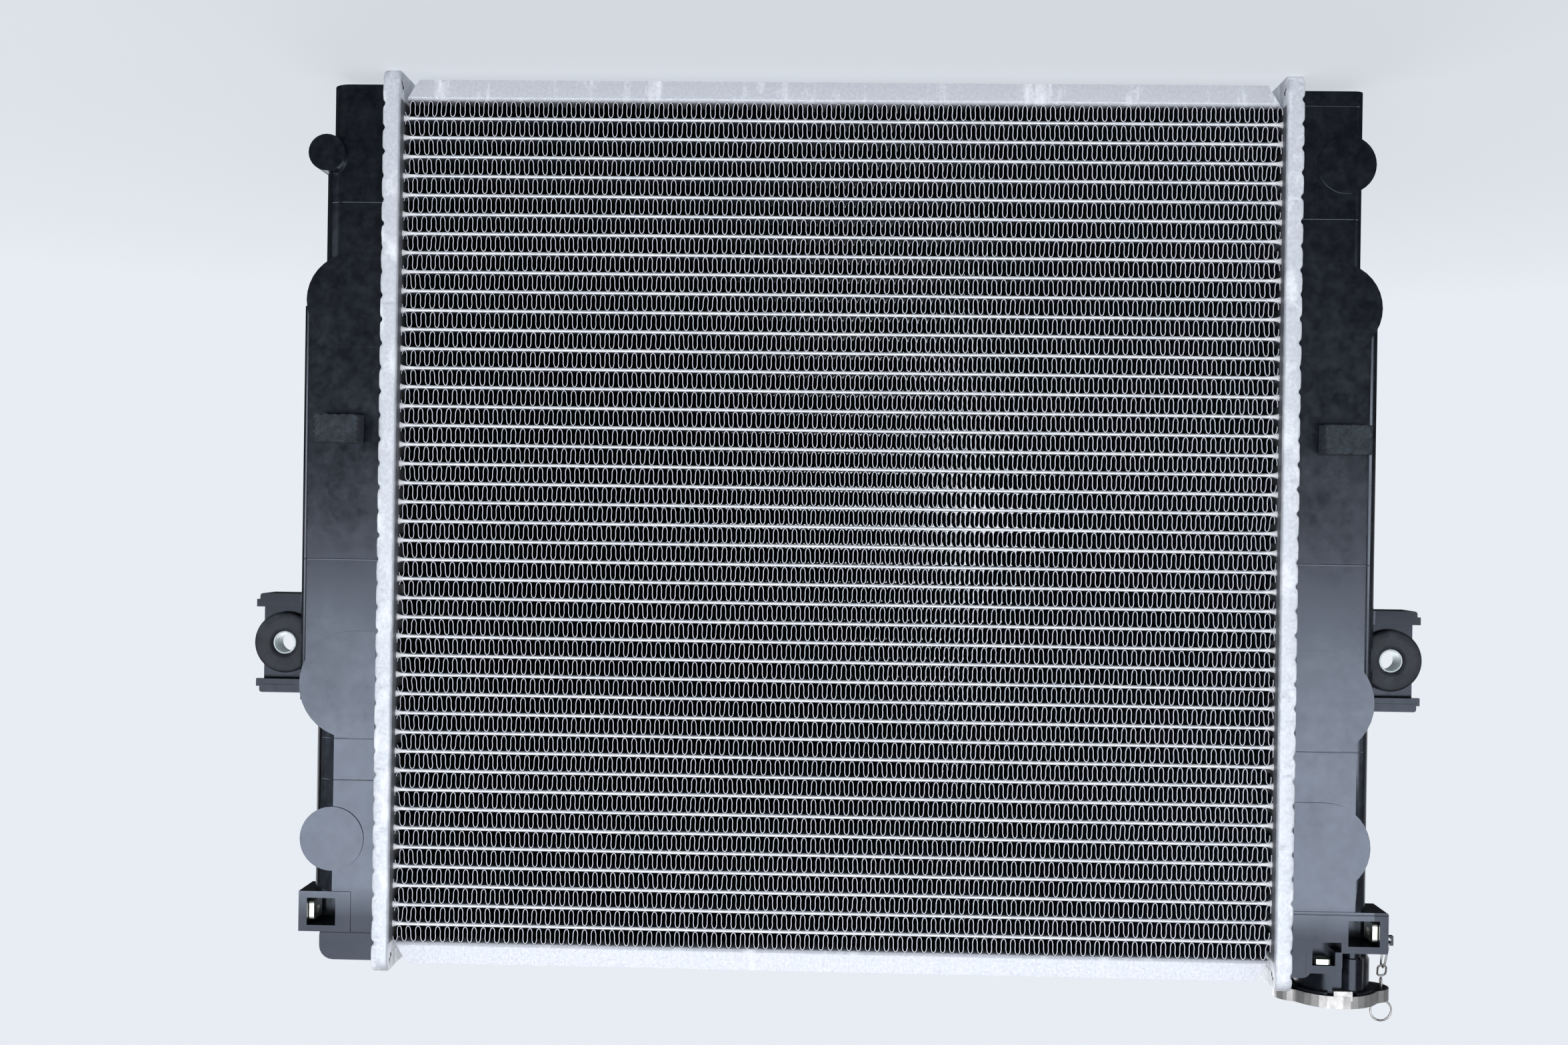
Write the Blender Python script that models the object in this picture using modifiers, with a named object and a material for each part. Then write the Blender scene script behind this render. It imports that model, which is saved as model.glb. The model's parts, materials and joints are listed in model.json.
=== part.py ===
"""Cross-flow car radiator: a brazed aluminium core between two moulded side tanks.

Frame: the radiator stands upright as it does in a car. +Z is up, -Y is the front, where the air
enters, and +Y is the engine side, where the hose necks are. The filler neck and its pressure cap
are at the top of the inlet tank, at -X. The outlet tank, with the drain cock, is at +X. The origin
is on the ground that the header plates stand on, in the middle of the overall width and depth.
The pieces are drawn from the middle of the core's depth, and an empty carries them to the origin.
Lengths are in metres.
"""

import math

import bmesh
import bpy
from mathutils import Matrix, Vector

MM = 0.001
GAP = 0.3 * MM
INLET = -1
OUTLET = 1
SIDE_NAMES = {INLET: "inlet", OUTLET: "outlet"}

# Core
MID_HEIGHT = 226.5 * MM
TUBE_COUNT = 43
TUBE_PITCH = 9.7 * MM
TUBE_HEIGHT = 1.7 * MM
TUBE_DEPTH = 26.0 * MM
TUBE_WALL = 0.35 * MM
TUBE_REACH = 224.2 * MM
FIN_HEIGHT = TUBE_PITCH - TUBE_HEIGHT
FIN_DEPTH = 25.0 * MM
FIN_REACH = 219.4 * MM
TUBES_IN_BANK = 2
BANK_COUNT = math.ceil(TUBE_COUNT / TUBES_IN_BANK)
LOWEST_TUBE = MID_HEIGHT - (TUBE_COUNT - 1) / 2 * TUBE_PITCH
CORE_HALF_HEIGHT = (TUBE_COUNT - 1) / 2 * TUBE_PITCH + TUBE_HEIGHT / 2 + FIN_HEIGHT - GAP

# Header plates, measured outwards from the middle of the core
HEADER_FLOOR = 220.3 * MM
HEADER_EDGE = 228.6 * MM
HEADER_HALF_DEPTH = 23.5 * MM
HEADER_HALF_LENGTH = MID_HEIGHT
HEADER_CORNER = 7.0 * MM
HEADER_BEND = 2.5 * MM
SHEET = 1.5 * MM
LIP_FACE = 227.1 * MM
LIP_WIDTH = 3.2 * MM
FIELD_HALF_DEPTH = 15.3 * MM
FIELD_RISE = 1.2 * MM
FIELD_HALF_LENGTH = MID_HEIGHT - 11.0 * MM

# Side plates
SIDE_REACH = 219.2 * MM
SIDE_HEIGHT = 10.5 * MM
SIDE_DEPTH = 26.4 * MM
SIDE_SHEET = 1.2 * MM
SIDE_BEVEL = 6.5 * MM

# Tanks
FOOT_HALF_DEPTH = 21.6 * MM
FOOT_TOP = 226.7 * MM
FOOT_BOTTOM = 223.6 * MM
GASKET_INNER = 16.0 * MM
TANK_HALF_DEPTH = 19.4 * MM
TANK_MID_HALF_DEPTH = 20.0 * MM
BOSS_HALF_DEPTH = 20.1 * MM
BOSS_INNER = HEADER_EDGE + GAP
TANK_WALL = 3.0 * MM
TANK_LOW = 7.5 * MM
TANK_HIGH = 447.3 * MM
END_REACH = 255.8 * MM
SLIM_REACH = 259.4 * MM
BROAD_REACH = 267.8 * MM
BROAD_LOW = 119.0 * MM
BROAD_HIGH = 317.0 * MM
CAVITY_STEP = 266.0 * MM
UPPER_CAVITY = 257.6 * MM
HOSE_RADIUS = 17.0 * MM
HOSE_BORE = 14.0 * MM
HOSE_END = 58.0 * MM
HOSE_HEIGHTS = {INLET: 381.2 * MM, OUTLET: 115.9 * MM}
HOSE_REACH = BOSS_INNER + HOSE_RADIUS + 0.5 * MM
HOSE_BOSS_REACHES = {INLET: 244.3 * MM, OUTLET: 243.0 * MM}

# Ears with their rubber bushes
EAR_HEIGHT = 289.0 * MM
EAR_REACH = 289.6 * MM
EAR_FRONT = -7.0 * MM
EAR_THICKNESS = 4.0 * MM
EAR_LIP_REACH = 291.4 * MM
BUSH_REACH = 278.0 * MM
BUSH_RADIUS = 15.4 * MM
BUSH_WAIST = 11.5 * MM
BUSH_BORE = 6.1 * MM
BUSH_FLANGE = 5.0 * MM
BUSH_CLEARANCE = 2.8 * MM
SLEEVE_RADIUS = 5.8 * MM
SLEEVE_BORE = 5.0 * MM
SLEEVE_INSET = 1.5 * MM

# Foam pads
PAD_FRONT = -32.0 * MM

# Pockets that hold the nuts for the fan shroud
POCKET_FRONT = -19.9 * MM
NUT_THICKNESS = 2.5 * MM
NUT_BORE = 2.5 * MM
SCREW_HOLE = 3.2 * MM
SCREW_DEPTH = -10.0 * MM

# Filler neck and cap
NECK_X = -254.7 * MM
NECK_Y = 4.0 * MM
NECK_RADIUS = 18.5 * MM
NECK_BORE = 15.5 * MM
SEAT_BORE = 11.0 * MM
SEAT_HEIGHT = 442.3 * MM
NECK_TOP = 458.3 * MM
FLANGE_RADIUS = 21.3 * MM
FLANGE_HEIGHT = 4.7 * MM
NOTCH_HALF_ANGLE = 20.0
CAP_RADIUS = 22.7 * MM
CAP_TOP = 460.9 * MM
CAP_RIM = 454.9 * MM
CAP_SHEET = 0.8 * MM
CAP_EAR_REACH = 28.8 * MM
CAP_EAR_RADIUS = 10.0 * MM
CAP_EAR_FILLET = 6.0 * MM
LUG_WIDTH = 9.2 * MM
LUG_FOOT = 452.3 * MM
LUG_INNER = 19.4 * MM
SPRING_TURNS = 4
SPRING_RADIUS = 10.2 * MM
SPRING_WIRE = 1.0 * MM
RING_HOLE_REACH = 25.2 * MM

# Drain cock
DRAIN_X = 256.5 * MM
DRAIN_HEIGHT = 42.4 * MM
DRAIN_BOSS = 9.2 * MM
DRAIN_BORE = 5.6 * MM
DRAIN_BACK = 21.0 * MM

# Chain
WIRE_RADIUS = 0.55 * MM
CLIP_EYE = 5.3 * MM
CLIP_SPREAD = 0.8 * MM
CLIP_FOOT = 450.6 * MM
LUG_EYE_X = -281.6 * MM
LUG_EYE_HEIGHT = 430.6 * MM
CHAIN_JOINT_X = -279.1 * MM
CHAIN_JOINT_HEIGHT = 444.2 * MM
LONG_LINK_WIDTH = 6.4 * MM
SHORT_LINK_WIDTH = 4.2 * MM

parts = bpy.data.collections.new("car_radiator")
cutters = bpy.data.collections.new("cutters")


# ---------------------------------------------------------------- general helpers


def clear_scene():
    """Remove the start-up objects and hang both collections under the scene."""
    for obj in list(bpy.data.objects):
        bpy.data.objects.remove(obj, do_unlink=True)
    bpy.context.scene.collection.children.link(parts)
    bpy.context.scene.collection.children.link(cutters)


def material(name, colour, roughness, metallic=0.0):
    """A Principled material of one finish."""
    mat = bpy.data.materials.new(name)
    mat.use_nodes = True
    shader = mat.node_tree.nodes["Principled BSDF"]
    shader.inputs["Base Color"].default_value = (*colour, 1.0)
    shader.inputs["Roughness"].default_value = roughness
    shader.inputs["Metallic"].default_value = metallic
    mat.diffuse_color = (*colour, 1.0)
    return mat


def as_object(name, bm):
    """Turn a bmesh into an object in the cutters collection, seen only as a wire."""
    bmesh.ops.recalc_face_normals(bm, faces=bm.faces)
    mesh = bpy.data.meshes.new(name)
    bm.to_mesh(mesh)
    bm.free()
    obj = bpy.data.objects.new(name, mesh)
    cutters.objects.link(obj)
    obj.hide_render = True
    obj.display_type = "WIRE"
    return obj


def publish(obj, name, mat, sharp_degrees=35.0):
    """Move a shaped object to the parts, under its own name and with its material."""
    obj.name = name
    obj.data.name = name
    obj.data.materials.clear()
    obj.data.materials.append(mat)
    if obj.type == "MESH":
        obj.data.shade_smooth()
        obj.data.set_sharp_from_angle(angle=math.radians(sharp_degrees))
    cutters.objects.unlink(obj)
    parts.objects.link(obj)
    obj.hide_render = False
    obj.display_type = "TEXTURED"
    return obj


def combine(obj, operation, tools):
    """Give an object one Boolean modifier for each tool."""
    for tool in tools:
        modifier = obj.modifiers.new(tool.name, "BOOLEAN")
        modifier.operation = operation
        modifier.object = tool
    return obj


def join(obj, *tools):
    """Add the tools to an object."""
    return combine(obj, "UNION", tools)


def cut(obj, *tools):
    """Take the tools away from an object."""
    return combine(obj, "DIFFERENCE", tools)


# ---------------------------------------------------------------- basic shapes


def box_bmesh(corner, opposite):
    """A box between two opposite corners, in any order."""
    low = Vector(min(a, b) for a, b in zip(corner, opposite))
    high = Vector(max(a, b) for a, b in zip(corner, opposite))
    bm = bmesh.new()
    place = Matrix.Translation((low + high) / 2) @ Matrix.Diagonal((*(high - low), 1.0))
    bmesh.ops.create_cube(bm, size=1.0, matrix=place)
    return bm


def box(name, corner, opposite):
    """A plain box."""
    return as_object(name, box_bmesh(corner, opposite))


def bevel_where(bm, chosen, radius, segments):
    """Round the edges whose direction and middle pass a test."""
    edges = []
    for edge in bm.edges:
        start, end = (vert.co for vert in edge.verts)
        if chosen((end - start).normalized(), (start + end) / 2):
            edges.append(edge)
    bmesh.ops.bevel(bm, geom=edges, offset=radius, segments=segments, profile=0.5, affect="EDGES")


def rounded_box(name, corner, opposite, axis, radius, segments=4, beyond=None):
    """A box whose edges along one axis are rounded; beyond limits this to |x| past that value."""

    def chosen(direction, middle):
        return abs(direction[axis]) > 0.9 and (beyond is None or abs(middle.x) > beyond)

    bm = box_bmesh(corner, opposite)
    bevel_where(bm, chosen, radius, segments)
    return as_object(name, bm)


def cylinder(name, start, end, radius, segments=32):
    """A cylinder between the middles of its two flat ends."""
    start = Vector(start)
    end = Vector(end)
    along = end - start
    turn = along.to_track_quat("Z", "Y").to_matrix().to_4x4()
    bm = bmesh.new()
    bmesh.ops.create_cone(
        bm,
        cap_ends=True,
        segments=segments,
        radius1=radius,
        radius2=radius,
        depth=along.length,
        matrix=Matrix.Translation((start + end) / 2) @ turn,
    )
    return as_object(name, bm)


def turned(name, profile, origin, axis=(0.0, 0.0, 1.0), steps=32):
    """Turn a profile of (radius, height) points round an axis through the origin.

    The profile runs down its outer side from top to bottom. Where it ends off the axis it is a
    ring, and is closed on itself.
    """
    mesh = bpy.data.meshes.new(name)
    points = [(radius, 0.0, height) for radius, height in profile]
    edges = [(i, i + 1) for i in range(len(points) - 1)]
    if profile[0][0] > 0.0:
        edges.append((len(points) - 1, 0))
    mesh.from_pydata(points, edges, [])
    obj = bpy.data.objects.new(name, mesh)
    cutters.objects.link(obj)
    turn = Vector(axis).to_track_quat("Z", "Y").to_matrix().to_4x4()
    obj.matrix_world = Matrix.Translation(origin) @ turn
    screw = obj.modifiers.new("turn", "SCREW")
    screw.steps = steps
    screw.render_steps = steps
    screw.use_merge_vertices = True
    screw.merge_threshold = 0.0000001
    screw.use_smooth_shade = False
    return solid_copy(obj)


def solid_copy(obj):
    """Replace an object by a welded mesh of its evaluated shape, in world coordinates."""
    bpy.context.view_layer.update()
    evaluated = obj.evaluated_get(bpy.context.evaluated_depsgraph_get())
    mesh = bpy.data.meshes.new_from_object(evaluated)
    bm = bmesh.new()
    bm.from_mesh(mesh)
    bmesh.ops.transform(bm, matrix=obj.matrix_world, verts=bm.verts)
    bmesh.ops.remove_doubles(bm, verts=bm.verts, dist=0.000001)
    flat = math.radians(0.05)
    bmesh.ops.dissolve_limit(bm, angle_limit=flat, verts=bm.verts, edges=bm.edges)
    name = obj.name
    bpy.data.objects.remove(obj, do_unlink=True)
    bpy.data.meshes.remove(mesh)
    return as_object(name, bm)


def slab(name, outline, low, high, across=False):
    """A flat outline drawn along one axis.

    The outline's points are (x, y), drawn up between two heights, or with across they are (x, z),
    drawn between two depths.
    """
    curve = bpy.data.curves.new(name, "CURVE")
    curve.dimensions = "2D"
    curve.fill_mode = "BOTH"
    curve.extrude = (high - low) / 2
    curve.render_resolution_u = 0
    spline = curve.splines.new("POLY")
    spline.points.add(len(outline) - 1)
    for point, (u, v) in zip(spline.points, outline):
        point.co = (u, v, 0.0, 1.0)
    spline.use_cyclic_u = True
    obj = bpy.data.objects.new(name, curve)
    cutters.objects.link(obj)
    middle = (low + high) / 2
    if across:
        obj.rotation_euler.x = math.radians(90.0)
        obj.location.y = middle
    else:
        obj.location.z = middle
    return solid_copy(obj)


def wire(name, points, radius, mat, closed=False):
    """A bent wire along points, as a curve with a round section."""
    curve = bpy.data.curves.new(name, "CURVE")
    curve.dimensions = "3D"
    curve.bevel_depth = radius
    curve.bevel_resolution = 2
    curve.use_fill_caps = not closed
    curve.render_resolution_u = 0
    spline = curve.splines.new("POLY")
    spline.points.add(len(points) - 1)
    for point, place in zip(spline.points, points):
        point.co = (*place, 1.0)
    spline.use_cyclic_u = closed
    obj = bpy.data.objects.new(name, curve)
    obj.data.materials.append(mat)
    parts.objects.link(obj)
    return obj


def arc(centre, radius, start_degrees, end_degrees, pieces):
    """Points along an arc in a plane, both ends included."""
    points = []
    for i in range(pieces + 1):
        angle = math.radians(start_degrees + (end_degrees - start_degrees) * i / pieces)
        points.append((centre[0] + radius * math.cos(angle), centre[1] + radius * math.sin(angle)))
    return points


# ---------------------------------------------------------------- core


def tube_height(index):
    """Height of a tube's middle, counted from the lowest."""
    return LOWEST_TUBE + index * TUBE_PITCH


def tube_bank(number, mat):
    """Two flat tubes brazed between their rows of fins; the last bank has one tube."""
    first = number * TUBES_IN_BANK
    last = min(first + TUBES_IN_BANK, TUBE_COUNT) - 1
    low = tube_height(first) - TUBE_HEIGHT / 2 - FIN_HEIGHT + GAP
    high = tube_height(last)
    if last == TUBE_COUNT - 1:
        high += TUBE_HEIGHT / 2 + FIN_HEIGHT - GAP
    half_fin = FIN_DEPTH / 2
    half_tube = TUBE_DEPTH / 2
    bank = box("bank", (-FIN_REACH, -half_fin, low), (FIN_REACH, half_fin, high))
    tubes = []
    bores = []
    for index in range(first, last + 1):
        middle = tube_height(index)
        rise = TUBE_HEIGHT / 2
        inside = rise - TUBE_WALL
        tubes.append(
            box("tube", (-TUBE_REACH, -half_tube, middle - rise), (TUBE_REACH, half_tube, middle + rise))
        )
        reach = TUBE_REACH + 5 * MM
        wall = half_tube - TUBE_WALL
        bores.append(box("tube_bore", (-reach, -wall, middle - inside), (reach, wall, middle + inside)))
    join(bank, *tubes)
    cut(bank, *bores)
    return publish(bank, f"tube_bank_{number + 1:02d}", mat)


def header_plate(side, mat):
    """A pressed pan: a channel all round for the gasket, and a raised field with the tube slots."""
    low = MID_HEIGHT - HEADER_HALF_LENGTH
    high = MID_HEIGHT + HEADER_HALF_LENGTH
    depth = HEADER_HALF_DEPTH
    bm = box_bmesh((side * HEADER_FLOOR, -depth, low), (side * HEADER_EDGE, depth, high))
    bevel_where(bm, lambda way, at: abs(way.x) > 0.9, HEADER_CORNER, 5)
    bevel_where(bm, lambda way, at: abs(at.x) < HEADER_FLOOR + 0.1 * MM, HEADER_BEND, 3)
    plate = as_object("header", bm)
    inside = rounded_box(
        "header_inside",
        (side * (HEADER_FLOOR + SHEET), SHEET - depth, low + SHEET),
        (side * LIP_FACE, depth - SHEET, high - SHEET),
        0,
        HEADER_CORNER - SHEET,
    )
    mouth = rounded_box(
        "header_mouth",
        (side * (LIP_FACE - SHEET), LIP_WIDTH - depth, low + LIP_WIDTH),
        (side * (HEADER_EDGE + SHEET), depth - LIP_WIDTH, high - LIP_WIDTH),
        0,
        HEADER_CORNER - LIP_WIDTH,
    )
    field_low = MID_HEIGHT - FIELD_HALF_LENGTH
    field_high = MID_HEIGHT + FIELD_HALF_LENGTH
    field_top = HEADER_FLOOR + SHEET + FIELD_RISE
    field = box(
        "header_field",
        (side * (HEADER_FLOOR + SHEET / 2), -FIELD_HALF_DEPTH, field_low),
        (side * field_top, FIELD_HALF_DEPTH, field_high),
    )
    recess = box(
        "header_recess",
        (side * (HEADER_FLOOR - SHEET), SHEET - FIELD_HALF_DEPTH, field_low + SHEET),
        (side * (field_top - SHEET), FIELD_HALF_DEPTH - SHEET, field_high - SHEET),
    )
    cut(plate, inside, mouth)
    join(plate, field)
    cut(plate, recess, tube_slots(side))
    return publish(plate, f"header_plate_{SIDE_NAMES[side]}", mat)


def tube_slots(side):
    """One cutter that holds a slot for each tube."""
    slots = bmesh.new()
    half_depth = TUBE_DEPTH / 2 + GAP
    half_height = TUBE_HEIGHT / 2 + GAP
    for index in range(TUBE_COUNT):
        middle = tube_height(index)
        centre = (side * (HEADER_FLOOR + SHEET + FIELD_RISE), 0.0, middle)
        size = (8 * MM, 2 * half_depth, 2 * half_height, 1.0)
        bmesh.ops.create_cube(slots, size=1.0, matrix=Matrix.Translation(centre) @ Matrix.Diagonal(size))
    return as_object("tube_slots", slots)


def side_plate(name, direction, mat):
    """A channel that closes the fin stack above or below; direction is +1 for the top one."""
    base = MID_HEIGHT + direction * (CORE_HALF_HEIGHT + GAP)
    edge = base + direction * SIDE_HEIGHT
    half = SIDE_DEPTH / 2
    bm = box_bmesh((-SIDE_REACH, -half, base), (SIDE_REACH, half, edge))
    for vert in bm.verts:
        if abs(vert.co.z - edge) < GAP:
            vert.co.x -= math.copysign(SIDE_BEVEL, vert.co.x)
    plate = as_object("side", bm)
    web = base + direction * SIDE_SHEET
    flange = half - SIDE_SHEET
    channel = box(
        "channel",
        (-SIDE_REACH - SHEET, -flange, web),
        (SIDE_REACH + SHEET, flange, edge + direction * SHEET),
    )
    cut(plate, channel)
    return publish(plate, name, mat)


def gasket(side, mat):
    """The rubber frame between the header plate's channel and the tank's foot."""
    bottom = HEADER_FLOOR + SHEET + GAP
    top = FOOT_BOTTOM - GAP
    outer = FOOT_HALF_DEPTH
    low = MID_HEIGHT - HEADER_HALF_LENGTH + SHEET + GAP
    high = MID_HEIGHT + HEADER_HALF_LENGTH - SHEET - GAP
    edge = outer - GASKET_INNER
    ring = rounded_box("gasket", (side * bottom, -outer, low), (side * top, outer, high), 0, 5 * MM, 3)
    hole = box(
        "gasket_hole",
        (side * (bottom - SHEET), -GASKET_INNER, low + edge),
        (side * (top + SHEET), GASKET_INNER, high - edge),
    )
    cut(ring, hole)
    return publish(ring, f"gasket_{SIDE_NAMES[side]}", mat)


# ---------------------------------------------------------------- tanks


def tank_section(side, reach, half_depth, low, high, radius):
    """A length of tank whose two outer edges are rounded."""
    return rounded_box(
        "tank_section",
        (side * FOOT_BOTTOM, -half_depth, low),
        (side * reach, half_depth, high),
        2,
        radius,
        5,
        beyond=reach - MM,
    )


def tank_cavity(side, reach, low, high, front=-TANK_HALF_DEPTH + TANK_WALL):
    """The coolant space behind a length of tank wall."""
    back = TANK_HALF_DEPTH - TANK_WALL
    return box("tank_cavity", (side * (FOOT_BOTTOM - SHEET), front, low), (side * reach, back, high))


def boss(side, reach, height, radius):
    """A round boss through the tank's depth."""
    centre = side * reach
    depth = BOSS_HALF_DEPTH
    return cylinder("boss", (centre, -depth, height), (centre, depth, height), radius, 36)


def long_boss(side, reach, height, radius, half_depth=BOSS_HALF_DEPTH):
    """A boss with a round outer end, which runs on to the header plate at its full width."""
    outline = arc((reach, height), radius, 90.0, -90.0, 18)
    outline += [(BOSS_INNER, height - radius), (BOSS_INNER, height + radius)]
    outline = [(side * x, z) for x, z in outline]
    return slab("long_boss", outline, -half_depth, half_depth, across=True)


def foot(side):
    """The tank's foot, which the header plate's edge is folded over."""
    low = MID_HEIGHT - HEADER_HALF_LENGTH + SHEET + GAP
    high = MID_HEIGHT + HEADER_HALF_LENGTH - SHEET - GAP
    return rounded_box(
        "foot",
        (side * FOOT_BOTTOM, -FOOT_HALF_DEPTH, low),
        (side * FOOT_TOP, FOOT_HALF_DEPTH, high),
        0,
        5 * MM,
        3,
    )


def hose_neck(side):
    """The outside of a hose neck with its bead, and the bore through it into the tank."""
    x = side * HOSE_REACH
    z = HOSE_HEIGHTS[side]
    bead = HOSE_RADIUS + 1.3 * MM
    profile = [
        (0.0, HOSE_END),
        (HOSE_RADIUS - 0.6 * MM, HOSE_END),
        (bead, HOSE_END - 2.2 * MM),
        (bead, HOSE_END - 4.2 * MM),
        (HOSE_RADIUS, HOSE_END - 6.4 * MM),
        (HOSE_RADIUS, TANK_HALF_DEPTH - TANK_WALL / 2),
        (0.0, TANK_HALF_DEPTH - TANK_WALL / 2),
    ]
    outside = turned("hose_neck", profile, (x, 0.0, z), (0.0, 1.0, 0.0), 32)
    bore = cylinder("hose_bore", (x, TANK_WALL, z), (x, HOSE_END + MM, z), HOSE_BORE, 32)
    return outside, bore


def ear(side):
    """The mounting ear: a plate for the bush between two flanges with thin front lips."""
    inner = side * (UPPER_CAVITY + TANK_WALL)
    outer = side * EAR_REACH
    back = EAR_FRONT + EAR_THICKNESS
    pieces = [
        box("ear_plate", (inner, EAR_FRONT, EAR_HEIGHT - 24 * MM), (outer, back, EAR_HEIGHT + 24 * MM))
    ]
    for direction in (-1, 1):
        flange_inner = EAR_HEIGHT + direction * 21.0 * MM
        flange_outer = EAR_HEIGHT + direction * 25.0 * MM
        pieces.append(
            rounded_box(
                "ear_flange",
                (inner, -14.5 * MM, flange_inner),
                (outer, 6 * MM, flange_outer),
                1,
                1.2 * MM,
                2,
                beyond=EAR_REACH - MM,
            )
        )
        lip_inner = EAR_HEIGHT + direction * 18.2 * MM
        pieces.append(
            box(
                "ear_lip",
                (inner, -14.0 * MM, lip_inner),
                (side * EAR_LIP_REACH, -11.5 * MM, flange_inner + direction * MM),
            )
        )
    x = side * BUSH_REACH
    hole = cylinder(
        "bush_hole",
        (x, EAR_FRONT - MM, EAR_HEIGHT),
        (x, back + MM, EAR_HEIGHT),
        BUSH_WAIST + GAP,
        28,
    )
    return pieces, hole


def bush_recess(side):
    """The hollow in the tank's outer wall that the bush reaches into."""
    x = side * BUSH_REACH
    front = EAR_FRONT - BUSH_FLANGE - BUSH_CLEARANCE
    back = EAR_FRONT + EAR_THICKNESS + BUSH_FLANGE + BUSH_CLEARANCE
    return cylinder("bush_recess", (x, front, EAR_HEIGHT), (x, back, EAR_HEIGHT), BUSH_RADIUS + GAP, 36)


def outlet_tank(mat):
    """The tank at +X: drain boss at the bottom, hose neck low down, one shroud pocket at the top."""
    side = OUTLET
    tank = tank_section(side, END_REACH, TANK_HALF_DEPTH - 0.2 * MM, TANK_LOW, 40 * MM, 10 * MM)
    join(
        tank,
        tank_section(side, SLIM_REACH, TANK_HALF_DEPTH, 36 * MM, BROAD_LOW + 10 * MM, 11 * MM),
        tank_section(side, BROAD_REACH, TANK_MID_HALF_DEPTH, BROAD_LOW, BROAD_HIGH, 3.5 * MM),
        tank_section(side, SLIM_REACH + 1.2 * MM, TANK_HALF_DEPTH, BROAD_HIGH - 10 * MM, 432 * MM, 11 * MM),
        rounded_box(
            "tank_end",
            (side * FOOT_BOTTOM, -TANK_HALF_DEPTH + 0.4 * MM, 428 * MM),
            (side * END_REACH, TANK_HALF_DEPTH - 0.4 * MM, TANK_HIGH),
            1,
            7 * MM,
            5,
            beyond=END_REACH - MM,
        ),
        foot(side),
        long_boss(side, HOSE_BOSS_REACHES[side], HOSE_HEIGHTS[side], 23.5 * MM),
        long_boss(side, 240.5 * MM, 309.0 * MM, 27.0 * MM, TANK_MID_HALF_DEPTH + 0.2 * MM),
        boss(side, 250.0 * MM, 386.5 * MM, 16.1 * MM),
    )
    cut(tank, bush_recess(side))
    drain_boss = cylinder(
        "drain_boss",
        (DRAIN_X, -23 * MM, DRAIN_HEIGHT),
        (DRAIN_X, DRAIN_BACK, DRAIN_HEIGHT),
        DRAIN_BOSS,
        28,
    )
    drain_bore = cylinder(
        "drain_bore",
        (DRAIN_X, MM, DRAIN_HEIGHT),
        (DRAIN_X, DRAIN_BACK + MM, DRAIN_HEIGHT),
        DRAIN_BORE,
        24,
    )
    neck, bore = hose_neck(side)
    ear_pieces, ear_hole = ear(side)
    block = box("pocket_block", (240 * MM, POCKET_FRONT, 413 * MM), (266.2 * MM, 4 * MM, 433.2 * MM))
    join(tank, drain_boss, neck, *ear_pieces, block)
    cut(
        tank,
        tank_cavity(side, END_REACH - TANK_WALL, TANK_LOW + TANK_WALL, BROAD_LOW + 5 * MM),
        tank_cavity(side, BROAD_REACH - TANK_WALL, BROAD_LOW + TANK_WALL, CAVITY_STEP + TANK_WALL),
        tank_cavity(side, UPPER_CAVITY, CAVITY_STEP, 410 * MM),
        tank_cavity(side, 244.5 * MM, 405 * MM, TANK_HIGH - TANK_WALL),
        bore,
        drain_bore,
        ear_hole,
        box("pocket", (247.6 * MM, POCKET_FRONT - MM, 416.4 * MM), (262.0 * MM, MM, 430.1 * MM)),
        cylinder(
            "screw_hole",
            (261 * MM, SCREW_DEPTH, 423.25 * MM),
            (268 * MM, SCREW_DEPTH, 423.25 * MM),
            SCREW_HOLE,
            20,
        ),
    )
    return publish(tank, "tank_outlet", mat)


def neck_flange_notches():
    """The two gaps in the neck's flange that the cap's lugs drop through."""
    notches = []
    for middle in (-90.0, 90.0):
        start = middle - NOTCH_HALF_ANGLE
        end = middle + NOTCH_HALF_ANGLE
        sweep = arc((0.0, 0.0), 26 * MM, start, end, 4)
        inner = arc((0.0, 0.0), NECK_RADIUS + 0.1 * MM, end, start, 8)
        outline = [(NECK_X + x, NECK_Y + y) for x, y in sweep + inner]
        notches.append(slab("neck_notch", outline, NECK_TOP - FLANGE_HEIGHT - MM, NECK_TOP + MM))
    return notches


def filler_neck():
    """The outside of the filler neck with its flange, and the stepped bore with the valve seat."""
    flange_low = NECK_TOP - FLANGE_HEIGHT
    profile = [
        (0.0, NECK_TOP),
        (FLANGE_RADIUS - 0.8 * MM, NECK_TOP),
        (FLANGE_RADIUS, NECK_TOP - 0.8 * MM),
        (FLANGE_RADIUS, flange_low),
        (NECK_RADIUS, flange_low),
        (NECK_RADIUS, 439.8 * MM),
        (NECK_RADIUS - 1.5 * MM, 436.8 * MM),
        (NECK_RADIUS - 5.0 * MM, 434.8 * MM),
        (NECK_RADIUS - 7.0 * MM, 432.3 * MM),
        (0.0, 432.3 * MM),
    ]
    origin = (NECK_X, NECK_Y, 0.0)
    outside = turned("filler_neck", profile, origin, steps=36)
    bores = [
        cylinder("neck_bore", (NECK_X, NECK_Y, SEAT_HEIGHT), (NECK_X, NECK_Y, NECK_TOP + MM), NECK_BORE, 36),
        cylinder("seat_bore", (NECK_X, NECK_Y, 436 * MM), (NECK_X, NECK_Y, SEAT_HEIGHT + MM), SEAT_BORE, 28),
    ]
    return outside, bores


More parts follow.
